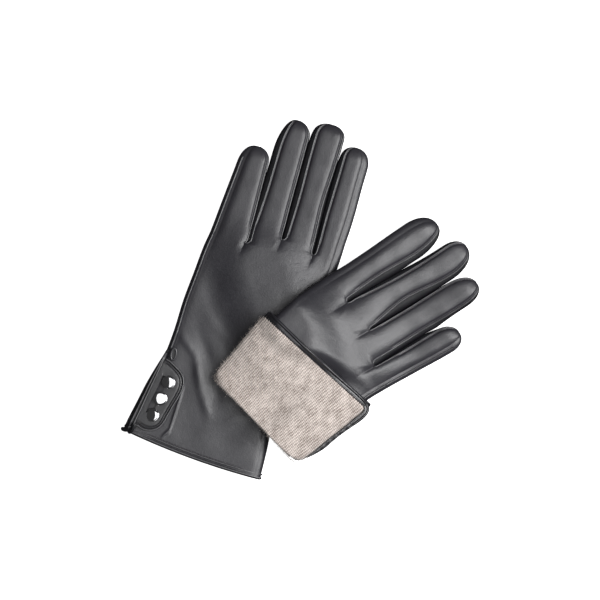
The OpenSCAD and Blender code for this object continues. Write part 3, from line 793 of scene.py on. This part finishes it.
# Seams: a thin rounded ridge where a strip meets a panel, and stitches in the ditch beside it. The ridge is in a
# lighter leather as a painted highlight.
for (g, f), (v, near, fore) in seam_paths.items():
    parts, threads = [], []
    for path, k, way in ((near, f, 1), (fore, f - 1, -1)):
        if not 0 <= k < 3:
            continue
        first = int(np.argmin(abs(v - CROTCHES[g][k][1])))
        run = path[first:-3] + [0, 0, 0.10]
        fade = np.clip((len(run) - np.arange(len(run))) / 8, 0.3, 1)
        parts.append(tube(run, 0.55 * fade))
        across = place(g, 1.0, 0.0) - place(g, 0.0, 0.0)
        beside = path[first + 3:-7] + np.append(across * way * DITCH, -0.42)
        threads += stitches(beside, 2.2, 1.5, 0.24)
    name = f"{SIDES[g]}_{DIGITS[f]}"
    bending(made(f"{name}_seams", joined(parts), "leather", "edge_leather"), g, f)
    bending(made(f"{name}_stitches", joined(threads), "fourchette_leather", "thread"), g, f)

for g, (v, path) in side_seams.items():
    for name, rows in ((f"{SIDES[g]}_side_seam", v <= blend_span(g, LITTLE)[0] + 0.01),
                       (f"{SIDES[g]}_little_side_seam", v >= blend_span(g, LITTLE)[0] - 0.01)):
        rows &= (v > 67) & (v < FINGERS[g][LITTLE][3] - 9)
        # The side seam's ridge is in the lighter leather: a painted highlight.
        seam = made(name, tube(path[rows] + [0, 0, 0.25], 0.62), "leather", "edge_leather")
        if name.endswith("little_side_seam"):
            bending(seam, g, LITTLE)
        else:
            riding(seam, f"{SIDES[g]}_glove")


# ---- tucked thumbs
def thumb_rings(g, inset):
    """Rings of the thumb tucked flat under the palm: its root rises into the palm, its tip is round."""
    u0, v0, u1, v1, wide, slim = THUMBS[g]
    way = np.array([u1 - u0, v1 - v0], float)
    length = float(np.linalg.norm(way))
    way /= length
    c, s = squared(np.linspace(0, 2 * np.pi, 48, endpoint=False), 0.8, 1.0)
    root_steps = -8 + 10 * (1 - np.cos(np.linspace(0.03, np.pi / 2, 12)))
    tip_steps = length - 9 + 9 * np.sin(np.linspace(0, np.pi / 2 - 0.02, 12))
    rings = []
    for x in np.concatenate([root_steps, np.linspace(4, length - 10, 16), tip_steps]):
        x = min(max(x, -8 + inset), length - inset)
        root = math.sqrt(max(1 - max((2 - x) / 10, 0) ** 2, 0.001))
        tip = math.sqrt(max(1 - max((x - length + 9) / 9, 0) ** 2, 0.001))
        half = (mix(wide, slim, x / length) * 0.84 - inset) * root * tip
        u, v = u0 + way[0] * x, v0 + way[1] * x
        middle = float(table(g, np.array(u), np.array(v))) + 3.1 + 2.4 * float(smooth((8 - x) / 14))
        z = middle + (THUMB_HALF - inset) * (root * tip) ** 0.6 * s
        rings.append(to_row(g, np.stack([u + way[1] * half * c, v - way[0] * half * c, z], -1)))
    return rings


for g in (LEFT, RIGHT):
    for inset, slot, node in ((0.0, "leather", "thumb"), (0.95, "knit_lining", "thumb_lining")):
        name = f"{SIDES[g]}_{node}"
        thumb = made(f"{name}_skin", skin(thumb_rings(g, inset), g == LEFT), slot)
        riding(thumb, f"{SIDES[g]}_glove", name)

# ---- lining and hem of the left hand
ROUND = np.linspace(0, 2 * np.pi, 200, endpoint=False)
rings = [to_row(LEFT, hand_ring(LEFT, v, -WALL, ROUND)) for v in np.arange(0.4, 150, 2.5)]
riding(made("left_lining_skin", skin(rings), "knit_lining"), "left_glove", "left_hand_lining")

# The left hem's binding: rolled over the edge, 3 mm deep outside and 6 mm inside.
HEM_PROFILE = ((3.4, -0.2), (3.3, 0.3), (3.05, 0.75), (2.7, 0.98), (2.35, 0.8), (2.1, 0.4), (1.8, 0.12),
               (1.4, 0.08), (1.05, 0.35), (0.65, 0.85), (0.15, 1.05), (-0.35, 0.85), (-0.8, 0.35),
               (-1.1, -0.2), (-1.2, -0.8), (-1.1, -1.3), (-0.7, -1.9), (0.0, -2.35), (1.4, -2.5),
               (5.8, -2.45), (6.1, -1.9))
rings = [to_row(LEFT, hand_ring(LEFT, dv, out, ROUND)) for dv, out in HEM_PROFILE]
binding = made("left_binding_skin", skin(rings, inside=True), "binding_leather")
riding(binding, "left_glove", "left_hem_binding")
# Two ridges round the hem, in the much lighter leather: painted highlight lines.
top_side = np.linspace(0.13 * np.pi, 0.80 * np.pi, 120)
ridges = [tube(to_row(LEFT, hand_ring(LEFT, dv, out, top_side)), thick)
          for dv, out, thick in ((2.6, 0.80, 0.42), (0.2, 0.85, 0.50))]
riding(made("left_hem_ridges", joined(ridges), "binding_leather", "rim_leather"), "left_glove")
threads = stitches(to_row(LEFT, hand_ring(LEFT, 3.9, 0.14, top_side)), 2.2, 1.5, 0.19)
riding(made("left_hem_stitches", joined(threads), "leather", "thread"), "left_glove")

# ---- the right cuff, turned back
CUFF_FORE = ((48.5, 42.0), (55, 45.0), (67, 48.6), (82, 53.2), (101, 58.6), (110, 59.5))
CUFF_LITTLE = ((57, -42.0), (62, -42.8), (73, -43.3), (92, -41.5), (105, -40.2), (120, -38.6), (131, -36.4))
CUFF_LENGTH = 64.0
CUFF_FROM, CUFF_TO = 56.6, 120.3        # v of the fold and of the hem, at the middle of the cuff
CUFF_SLANT = (-7.1, -13.2)              # how far they slant down towards the fore side


def cuff_edges(t):
    """u of the cuff's little and fore edges, t from the fold (0) to its hem (1)."""
    return curve(CUFF_LITTLE, mix(62, 131, t)), curve(CUFF_FORE, mix(49.5, 107, t))


def cuff_puff(c, s):
    """How much higher the cuff's upper side stands towards the little finger."""
    return 4.4 * smooth(s / 0.6) * smooth((-0.05 - c) / 0.4)


def corner(t, radius):
    """How far the rounded corner beside the fold lies inside the cuff's edge."""
    x = np.clip(1 - t * CUFF_LENGTH / radius, 0, 1)
    return radius * (1 - np.sqrt(1 - x * x))


def cuff_top(u, v):
    """Height of the turned cuff's upper surface."""
    c = np.zeros(np.shape(u))
    for _ in range(4):
        t = (v - CUFF_FROM - CUFF_SLANT[0] * c) / (CUFF_TO - CUFF_FROM + (CUFF_SLANT[1] - CUFF_SLANT[0]) * c)
        lo, hi = cuff_edges(t)
        c = np.clip((2 * u - lo - hi) / (hi - lo), -0.95, 0.97)
    s = np.clip(1.03 * np.sqrt(1 - np.abs(c) ** (2 / 0.65)) ** 0.65, 0, 1)
    return lift(RIGHT, u, v) + HAND_HALF + (HAND_HALF + TURNED_OUT) * s + cuff_puff(c, s)


def cuff_ring(t, out, angle):
    """A ring of the turned cuff, t from the fold (0) to its hem (1)."""
    c, s = squared(angle)
    v = mix(CUFF_FROM, CUFF_TO, t) + mix(*CUFF_SLANT, t) * c
    lo, hi = cuff_edges(t)
    lo, hi = lo + corner(t, 6.5), hi - corner(t, 4.5)
    u = (lo + hi) / 2 + ((hi - lo) / 2 - TURNED_OUT + out) * c
    z = lift(RIGHT, u, v) + HAND_HALF + (HAND_HALF + out) * s + cuff_puff(c, s)
    return np.stack([u, v, z], -1)


cuff_steps = np.linspace(0, 0.962, 162)
fine = np.linspace(0, 2 * np.pi, 560, endpoint=False)


def plain_maths(operation, a, b, c=0.0):
    return {"MULTIPLY_ADD": a * b + c, "SUBTRACT": a - b, "DIVIDE": a / b, "MULTIPLY": a * b}[operation]


def knitted(rings):
    """Raises ribs that run along the glove, each a chain of small stitches."""
    out = []
    for ring in rings:
        n = np.roll(ring, -1, 0) - np.roll(ring, 1, 0)
        normal = np.stack([n[:, 2], n[:, 0] * 0, -n[:, 0]], -1)
        normal /= np.maximum(np.linalg.norm(normal, axis=1), 1e-9)[:, None]
        phase = wale_across(ring[:, 0], ring[:, 1], plain_maths) * 2 * np.pi / WALE
        rib = np.abs(np.cos(phase / 2)) ** 0.8
        chain = 0.5 + 0.5 * np.cos(ring[:, 1] * 2 * np.pi / STITCH + np.abs(np.sin(phase / 2)) * 2.2)
        out.append(ring - normal * (0.24 * rib + 0.10 * chain - 0.2)[:, None])
    return out


outer = [cuff_ring(t, TURNED_OUT, fine) for t in cuff_steps]
fold_rings = []
for a in np.linspace(0, np.pi, 11)[1:-1]:
    ring = mix(cuff_ring(0, -WALL, fine), cuff_ring(0, TURNED_OUT, fine), (1 - np.cos(a)) / 2)
    ring[:, 1] -= 1.5 * np.sin(a)
    fold_rings.append(ring)
inner = [hand_ring(RIGHT, v, -WALL, fine) for v in np.arange(140, 57.5, -2.5)]
rings = [to_row(RIGHT, r) for r in inner + fold_rings + knitted(outer)]
cuff = made("right_cuff_skin", skin(rings, inside=True), "knit_lining")
riding(cuff, "right_glove", "right_hand_lining")

# The turned hem's binding: a ring round the hem, and on it the wide band, which turns the corner and
# runs on down the little side, where the vent is.
CUFF_HEM = ((-6.0, -0.4), (-5.2, 0.1), (-3.0, 0.2), (-1.6, 0.15), (-1.2, -0.2), (-1.05, -0.8), (-1.2, -1.4),
            (-1.6, -2.0), (-5, -2.2))
rings = [to_row(RIGHT, cuff_ring(1 + dv / CUFF_LENGTH, TURNED_OUT + out, ROUND)) for dv, out in CUFF_HEM]
riding(made("right_binding_skin", skin(rings), "binding_leather"), "right_glove", "right_hem_binding")

# The band's outer edge, (u, v, width)
BAND = ((59.5, 106, 4.2), (58.6, 107.6, 4.3), (54, 109, 4.4), (42, 111.8, 4.4), (30, 114.5, 4.4),
        (16, 118, 4.4), (3, 121.4, 4.4), (-10, 125, 4.3), (-22, 128.4, 4.2), (-29, 130, 4.0),
        (-34, 130.6, 3.8), (-37.6, 129.8, 3.6), (-40, 127.6, 3.4), (-41.4, 124, 3.6), (-42.1, 119, 3.9),
        (-42.3, 111, 3.1), (-42.6, 103.5, 2.6), (-43.4, 95, 2.9), (-44.4, 88, 3.0), (-44.4, 80, 1.9),
        (-43.6, 73, 0.5))
# Across it: (how far in from its outer edge, height over the knit), with a skirt down each side
BAND_PROFILE = ((0.0, -3.6), (-0.25, -1.8), (-0.35, -0.7), (-0.2, 0.2), (0.1, 0.85), (0.45, 1.25),
                (0.9, 1.45), (1.35, 1.3), (1.7, 0.9), (1.95, 0.5), (2.2, 0.32), (2.6, 0.50), (3.0, 0.52),
                (3.3, 0.42), (3.7, 0.55), (4.1, 0.46), (4.35, 0.1), (4.4, -0.5), (4.42, -3.4))
band = spline(BAND, 0.8)
ahead = np.gradient(band[:, :2], axis=0)
ahead /= np.linalg.norm(ahead, axis=1)[:, None]
inward = np.stack([ahead[:, 1], -ahead[:, 0]], -1)
inward *= np.sign(np.sum(inward * (np.array([8, 90]) - band[:, :2]), 1))[:, None]


def band_line(w, h):
    at = band[:, :2] + inward * (w * band[:, 2:] / 4.4)
    down = band[:, 1]
    tuck = 0.25 * np.sin(down * 1.1) * smooth((118 - down) / 8) * smooth((down - 78) / 8)
    z = cuff_top(at[:, 0], at[:, 1]) + h * np.minimum(band[:, 2] / 2.5, 1) + tuck * (w < 3)
    return to_row(RIGHT, np.stack([at[:, 0], at[:, 1], z], -1))


rows = [band_line(w, h) for w, h in BAND_PROFILE]
riding(made("right_binding_band", skin(rows, True, around=False), "binding_leather"), "right_glove")
threads = stitches(band_line(3.3, 0.62)[2:-14], 2.0, 1.4, 0.17)
riding(made("right_binding_stitches", joined(threads), "binding_leather", "thread"), "right_glove")

# Loose wool: short fibres that stand off the fold and off the cuff's fore side.
fibres = []
for _ in range(1700):
    if rng.random() < 0.55:
        t, angle = abs(rng.normal(0, 0.02)), rng.uniform(0.02, np.pi - 0.05)
        away = np.array([0, -1.0])
    elif rng.random() < 0.6:
        t, angle = rng.uniform(0, 0.9), rng.uniform(-0.1, 0.45)
        away = np.array([1.0, 0])
    else:
        t, angle = rng.uniform(0, 0.95), rng.uniform(0.1, np.pi - 0.1)
        away = rng.normal(0, 0.4, 2)
    root = cuff_ring(t, TURNED_OUT, np.array([angle]))[0]
    if away[1] == -1:
        root += (0, -1.35, -rng.uniform(0.2, 4.5))
    length = rng.uniform(0.4, 1.5)
    lean = np.append(away + rng.normal(0, 0.45, 2), rng.uniform(0.0, 0.7))
    curl = rng.normal(0, 0.35, 3)
    steps = np.linspace(0, 1, 4)[:, None]
    path = root + length * (steps * lean + steps**2 * curl)
    fibres.append(tube(to_row(RIGHT, path), 0.05 * np.array([1, 0.9, 0.7, 0.4]), 3))
riding(made("right_cuff_fibres", joined(fibres), "knit_lining"), "right_glove")

# ---- the left wrist flap
HINGE_TOP, HINGE_SLOPE = (60.0, -40.5), 7 / 48    # (v, u) of the hinge line's upper end, and u per v
FLAP_LEVEL = 10.6               # height of the flap's underside


def hinge_u(v):
    """u of the flap's hinge line at v."""
    return HINGE_TOP[1] - (HINGE_TOP[0] - v) * HINGE_SLOPE


# The flap's outline: (v, how far past its hinge line), from the hinge at the hem round to the wrist
FLAP_OUTLINE = ((8.2, -1.0), (7.6, 2.5), (6.5, 6.5), (6.4, 10.0), (7.5, 13.8), (9.9, 16.9), (14.0, 18.9),
                (21.0, 19.7), (28.0, 20.4), (35.0, 21.2), (41.0, 21.5), (46.0, 20.8), (50.5, 18.6),
                (54.5, 14.5), (57.3, 9.2), (59.6, 4.0), (60.6, -1.0))
# Rolls and stitched ditches along its edge: (distance inside the edge, width, height)
RIM = ((0.7, 0.40, 0.50), (1.65, 0.40, -0.34), (3.3, 0.42, -0.26), (2.5, 0.45, 0.20))


def flap_rim(d):
    """Height over the flap's level at a distance inside its edge."""
    round_off = 1.4 * np.sqrt(np.clip(1 - (1 - np.clip(d, 0, 0.6) / 0.6) ** 2, 0, 1))
    return round_off + sum(height * np.exp(-((d - at) / width) ** 2) for at, width, height in RIM)


def flap_lay(at):
    """How unevenly the flap lies."""
    return 0.12 * np.sin(at[:, 0] * 0.16 + 1)


def flap_points(at, z):
    """Points of the row at (v, how far past the hinge line), z over the flap's level."""
    height = np.full(len(at), FLAP_LEVEL) + z
    return to_row(LEFT, np.stack([at[:, 1] + hinge_u(at[:, 0]), at[:, 0], height], -1))


edge = spline(FLAP_OUTLINE, 0.5)
# Closed along the hinge
back = np.linspace(FLAP_OUTLINE[-1], FLAP_OUTLINE[0], 90)[1:-1]
loop = np.concatenate([edge, back])
spine = np.stack([np.clip(loop[:, 0], 19, 48), np.where(loop[:, 1] < 0, 4.0, 9.0)], -1)
reach = np.linalg.norm(loop - spine, axis=1)


def flap_inset(d):
    """The flap's loop, drawn in by d towards its spine."""
    return loop + (spine - loop) * np.minimum(d / reach, 0.97)[:, None]


def hinged(obj, *replaced):
    """A piece of the flap: its transform is baked in and the parts it replaces are hidden."""
    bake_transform(obj)
    replacing(replaced)


rings = [flap_points(loop, 0.05)]
for d in (0, 0.12, 0.3, 0.5, 0.7, 0.9, 1.15, 1.4, 1.75, 2.1, 2.45, 2.8, 3.1, 3.4, 3.8, 4.3, 5.2, 6.5):
    at = flap_inset(d)
    away = np.minimum(np.linalg.norm(at[:, None] - edge[None], axis=2).min(1), 9)
    rings.append(flap_points(at, flap_rim(away) + flap_lay(at)))
rings.append(flap_points(spine, 1.4))
hinged(made("left_flap_skin", skin(rings), "flap_leather"), "left_flap")

rings = []
for d, z in ((0.3, 0.5), (0.4, 0.1), (0.7, -0.02), (1.6, -0.04), (4.0, -0.04), (7.0, -0.04)):
    at = flap_inset(d)
    at[:, 1] = np.maximum(at[:, 1], 1.3 + 0.1 * d)
    rings.append(flap_points(at, z))
rings.append(flap_points(spine, -0.04))
backing = made("left_flap_backing_skin", skin(rings, inside=True), "backing_leather")
hinged(backing, "left_flap_backing")

# The flap's rolled rim, in the much lighter leather: a painted highlight along its edge.
rim = flap_points(flap_inset(0.62)[4:len(edge) - 4], 1.68)
hinged(made("left_flap_rim", tube(rim, 0.42), "flap_leather", "rim_leather"))
threads = []
for d in (1.75, 3.4):
    row = flap_inset(d)[6:len(edge) - 6]
    threads += stitches(flap_points(row, flap_rim(d) + flap_lay(row) + 0.1), 1.9, 1.35, 0.17)
hinged(made("left_flap_stitches", joined(threads), "flap_leather", "thread"))

# Its root: up from the palm side round the edge, with two ridges along the fold. Each point is (how
# far past the hinge line, height, how much it follows the root's width).
ROOT = ((0.9, 11.4, 0), (0.5, 12.0, 0), (0.1, 12.6, 0), (-0.4, 12.8, 0), (-0.9, 12.4, 0.2),
        (-1.3, 11.7, 0.5), (-1.7, 11.6, 1), (-2.1, 12.3, 1), (-2.6, 12.8, 1), (-3.1, 12.6, 1),
        (-3.7, 11.9, 1), (-4.4, 10.8, 1), (-5.0, 9.2, 1), (-5.4, 7.2, 1), (-5.5, 4.8, 1), (-5.1, 2.4, 1),
        (-4.2, 1.1, 1), (-2.6, 0.5, 1), (0.5, 0.35, 1))
ROOT_WIDTH = ((4, 5.9), (10, 5.9), (25, 5.3), (40, 4.6), (55, 3.0), (63, 1.9), (68, 1.4))
rings = []
for v in np.linspace(4.6, 66, 90):
    w = float(curve(ROOT_WIDTH, np.array(v))) / 5.5
    sink = 1.6 * float(smooth((9.5 - v) / 4)) + 2.6 * float(smooth((v - 60) / 6))
    low = float(smooth((v - 58) / 8))
    ring = [(hinge_u(v) + mix(x, x * w, k), v + 0.12 * math.sin(v * 0.2),
             mix(z, z * 0.92, low) - (sink if z > 6 else 0)) for x, z, k in ROOT]
    rings.append(to_row(LEFT, ring))
root = np.array(rings)
root_skin = made("left_flap_root_skin", skin(root, True, around=False), "flap_leather")
riding(root_skin, "left_glove", "left_flap_root")
# The root's two ridges, in the much lighter leather: painted highlight lines.
ridges = [tube(root[3:-3, k] - [0, 0, 0.02], 0.40) for k in (3, 8)]
riding(made("left_root_ridges", joined(ridges), "flap_leather", "rim_leather"), "left_glove")
threads = stitches(root[4:-6, 4] + [0, 0, 0.05], 1.9, 1.35, 0.17)
riding(made("left_root_stitches", joined(threads), "flap_leather", "thread"), "left_glove")

# The right flap is inside the fold, face down. Its free edge: (v as on the left one, u)
FLAP_FAR = ((8.2, -36.5), (9, -32), (12, -29), (17, -27.3), (27, -25.2), (38, -22.3), (46, -21.9),
            (52, -23.8), (57, -29), (59.5, -35.5))
for node, near, low, high, slot in (("flap", -36.9, 10.3, 11.1, "flap_leather"),
                                    ("flap_backing", -36.9, 11.12, 11.7, "backing_leather"),
                                    ("flap_root", -38.6, 10.3, 11.7, "flap_leather")):
    rings = []
    for v in np.linspace(66.6, 117.7, 60):
        far = -37.2 if node == "flap_root" else float(curve(FLAP_FAR, np.array(126 - v)))
        across = np.linspace(near, far, 12)
        u = np.concatenate([across, across[::-1]])
        vv = np.full(u.shape, v)
        z = np.repeat((low, high), len(across)) + lift(RIGHT, u, vv)
        rings.append(to_row(RIGHT, np.stack([u, vv, z], -1)))
    riding(made(f"right_{node}_skin", skin(rings, inside=True), slot), "right_glove", f"right_{node}")

# The small rolled loop where the vent ends.
turn = np.linspace(0, 2 * np.pi, 40, endpoint=False)
eye = np.array([-35.2, 64.8, 11.0])
rolled = np.stack([1.75 * np.cos(turn) - 0.25 * np.sin(turn), 4.1 * np.sin(turn), 0.4 * np.sin(turn)], -1)
vent_loop = tube(to_row(LEFT, eye + rolled), 0.72, 10, closed=True)
# The loop is in the lighter leather: a painted highlight on its rim.
riding(made("left_vent_loop", vent_loop, "flap_leather", "edge_leather"), "left_glove")
# A dark disc in the loop's opening: painted shade for its hole.
n = len(turn)
hole_shade = eye + np.stack([1.5 * np.cos(turn), 3.8 * np.sin(turn), np.full(n, -0.05)], -1)
hole_shade = to_row(LEFT, np.append(hole_shade, [eye - (0, 0, 0.05)], axis=0))
vent_hole_shade = made("left_vent_end", (hole_shade, [(k, (k + 1) % n, n) for k in range(n)]), "backing_leather")
riding(vent_hole_shade, "left_glove")

# Two turned-in ends of the root that stand out at the corner of the hem.
ENDS = ((((-56.2, 3.2, 5.5), (-53.6, 2.6, 7.0), (-51.6, 3.6, 8.6), (-50.6, 7.0, 10.2)), 1.5),
        (((-50.6, 1.4, 8.4), (-48.9, 2.4, 10.0), (-48.0, 5.5, 11.4), (-47.5, 9.5, 12.0)), 1.2))
for k, (path, thick) in enumerate(ENDS):
    path = to_row(LEFT, spline(path, 0.5))
    steps = np.arange(len(path))
    ends = np.minimum(1, 0.5 + np.minimum(steps, steps[::-1]) * 0.25)
    riding(made(f"left_root_end_{k}", tube(path, thick * ends, 14), "flap_leather"), "left_glove")

# ---- snap fasteners
SNAP_PITCH = 12.9
# Profiles: (radius, height). The cap's dome ends in a rolled rim.
DOME = (0, 0.5, 1, 1.5, 2, 2.5, 2.9, 3.2, 3.5, 3.75, 3.95, 4.1, 4.2, 4.27, 4.3)
CAP_PROFILE = [(r, 0.42 + 0.58 * math.sqrt(max(1 - (r / 4.3) ** 2, 0)) ** 0.85) for r in DOME] \
    + [(4.42, 0.30), (4.6, 0.24), (4.8, 0.20), (4.95, 0.12), (5.0, 0.02), (4.95, 0.0), (0, 0.0)]
SOCKET_PROFILE = [(0, -0.25), (1.9, -0.25), (2.2, -0.78), (2.5, -0.8), (2.9, -0.62), (3.3, -0.68),
                  (3.55, -0.5), (3.6, -0.2), (3.55, 0.0), (0, 0.0)]
STUD_PROFILE = [(0, -0.30), (1.5, -0.32), (1.85, -0.5), (1.9, -0.8), (1.7, -1.15), (2.1, -1.3), (3.1, -1.32),
                (3.3, -1.5), (3.25, -1.75), (0, -1.8)]
# The caps sit a little askew on the soft leather: (degrees about u, about v)
CAP_TILT = ((-2, 7.5), (0, 0.5), (-5, 10.5))


def lathe(profile, at, tilt=(0, 0), over=False, segments=64):
    """A turned piece at a point of the row, upside down if over."""
    a = np.arange(segments) * 2 * np.pi / segments
    points = np.array([(r * math.cos(t), r * math.sin(t), h) for r, h in profile for t in a])
    if over:
        points *= (1, -1, -1)
    for axis, angle in zip((0, 1), np.radians(tilt)):
        i, j = [k for k in range(3) if k != axis]
        a, b = points[:, i].copy(), points[:, j].copy()
        points[:, i] = a * math.cos(angle) - b * math.sin(angle)
        points[:, j] = a * math.sin(angle) + b * math.cos(angle)
    return points + at, grid_faces(len(profile), segments, around=True, flip=True)


def snap_points(g, height):
    """The places of a glove's three snaps, at a height over the palm's underside."""
    if g == LEFT:
        return [np.append(place(g, -33.2 - 2.2 * i, 44.3 - SNAP_PITCH * i), height) for i in range(3)]
    spots = [(-28.5, 81.7 + SNAP_PITCH * i) for i in range(3)]
    return [np.append(place(g, u, v), float(lift(g, u, v)) + height) for u, v in spots]


for g, name, profile, slot, body, height in (
        (LEFT, "caps", CAP_PROFILE, "cap_metal", "left_flap", FLAP_LEVEL + 1.4),
        (LEFT, "sockets", SOCKET_PROFILE, "snap_metal", "left_flap", FLAP_LEVEL),
        (LEFT, "studs", STUD_PROFILE, "snap_metal", "left_glove", FLAP_LEVEL),
        (RIGHT, "caps", CAP_PROFILE, "cap_metal", "right_glove", 10.35),
        (RIGHT, "sockets", SOCKET_PROFILE, "snap_metal", "right_glove", 11.7),
        (RIGHT, "studs", STUD_PROFILE, "snap_metal", "right_glove", 11.7)):
    turned = [lathe(profile, at, CAP_TILT[i] if name == "caps" else (0, 0), g == RIGHT)
              for i, at in enumerate(snap_points(g, height))]
    name = f"{SIDES[g]}_snap_{name}"
    riding(made(f"{name}_turned", joined(turned), slot), body, name)

# ---- carried-over CAD nodes
for name, obj in frame["nodes"].items():
    slot = next(s["material_slot"] for s in frame["record"]["subparts"] if s["node"] == name)
    obj.data.materials.clear()
    obj.data.materials.append(knits[name.startswith("right")] if slot == "knit_lining" else LOOKS[slot])

# ---- floor, lights and camera
floor_mesh = bpy.data.meshes.new("floor")
floor_mesh.from_pydata([(-2, -2, 0), (2, -2, 0), (2, 2, 0), (-2, 2, 0)], [], [(0, 1, 2, 3)])
floor = bpy.data.objects.new("floor", floor_mesh)
bpy.context.scene.collection.objects.link(floor)
floor.location.z = -0.0002
WHITE = (1, 1, 1, 1)
white = Look("floor_white", Base_Color=WHITE, Emission_Color=WHITE, Emission_Strength=1.0)
floor_mesh.materials.append(white.material)
floor.visible_diffuse = floor.visible_glossy = False


def area_light(name, at, towards, size, power, colour=(1, 1, 1)):
    data = bpy.data.lights.new(name, "AREA")
    data.shape = "RECTANGLE"
    data.size, data.size_y = size
    data.energy = power
    data.color = colour
    obj = bpy.data.objects.new(name, data)
    obj.location = at
    obj.rotation_euler = (Vector(towards) - Vector(at)).to_track_quat("-Z", "Y").to_euler()
    bpy.context.scene.collection.objects.link(obj)
    return obj


area_light("key", (0.95, -0.05, 1.15), (0, 0, 0), (0.8, 1.3), 27)
area_light("fill", (-1.2, 0.6, 1.2), (0, 0, 0), (1.0, 1.0), 2.5).visible_glossy = False
area_light("top", (0.2, -0.1, 1.9), (0.2, -0.1, 0), (1.4, 1.5), 10.2)

world = bpy.data.worlds.new("world")
world.use_nodes = True
world.node_tree.nodes["Background"].inputs["Color"].default_value = (1, 1, 1, 1)
world.node_tree.nodes["Background"].inputs["Strength"].default_value = 0.04
bpy.context.scene.world = world

VIEW_WIDTH = 0.432              # what the frame's width covers on the surface
camera_data = bpy.data.cameras.new("camera")
camera_data.lens = 600
camera_data.sensor_width = 36
camera_data.clip_end = 50
camera = bpy.data.objects.new("camera", camera_data)
camera.location = (-CENTRE[0] * MM, -CENTRE[1] * MM, VIEW_WIDTH * camera_data.lens / camera_data.sensor_width)
bpy.context.scene.collection.objects.link(camera)
bpy.context.scene.camera = camera
bpy.context.scene.view_settings.view_transform = "Standard"
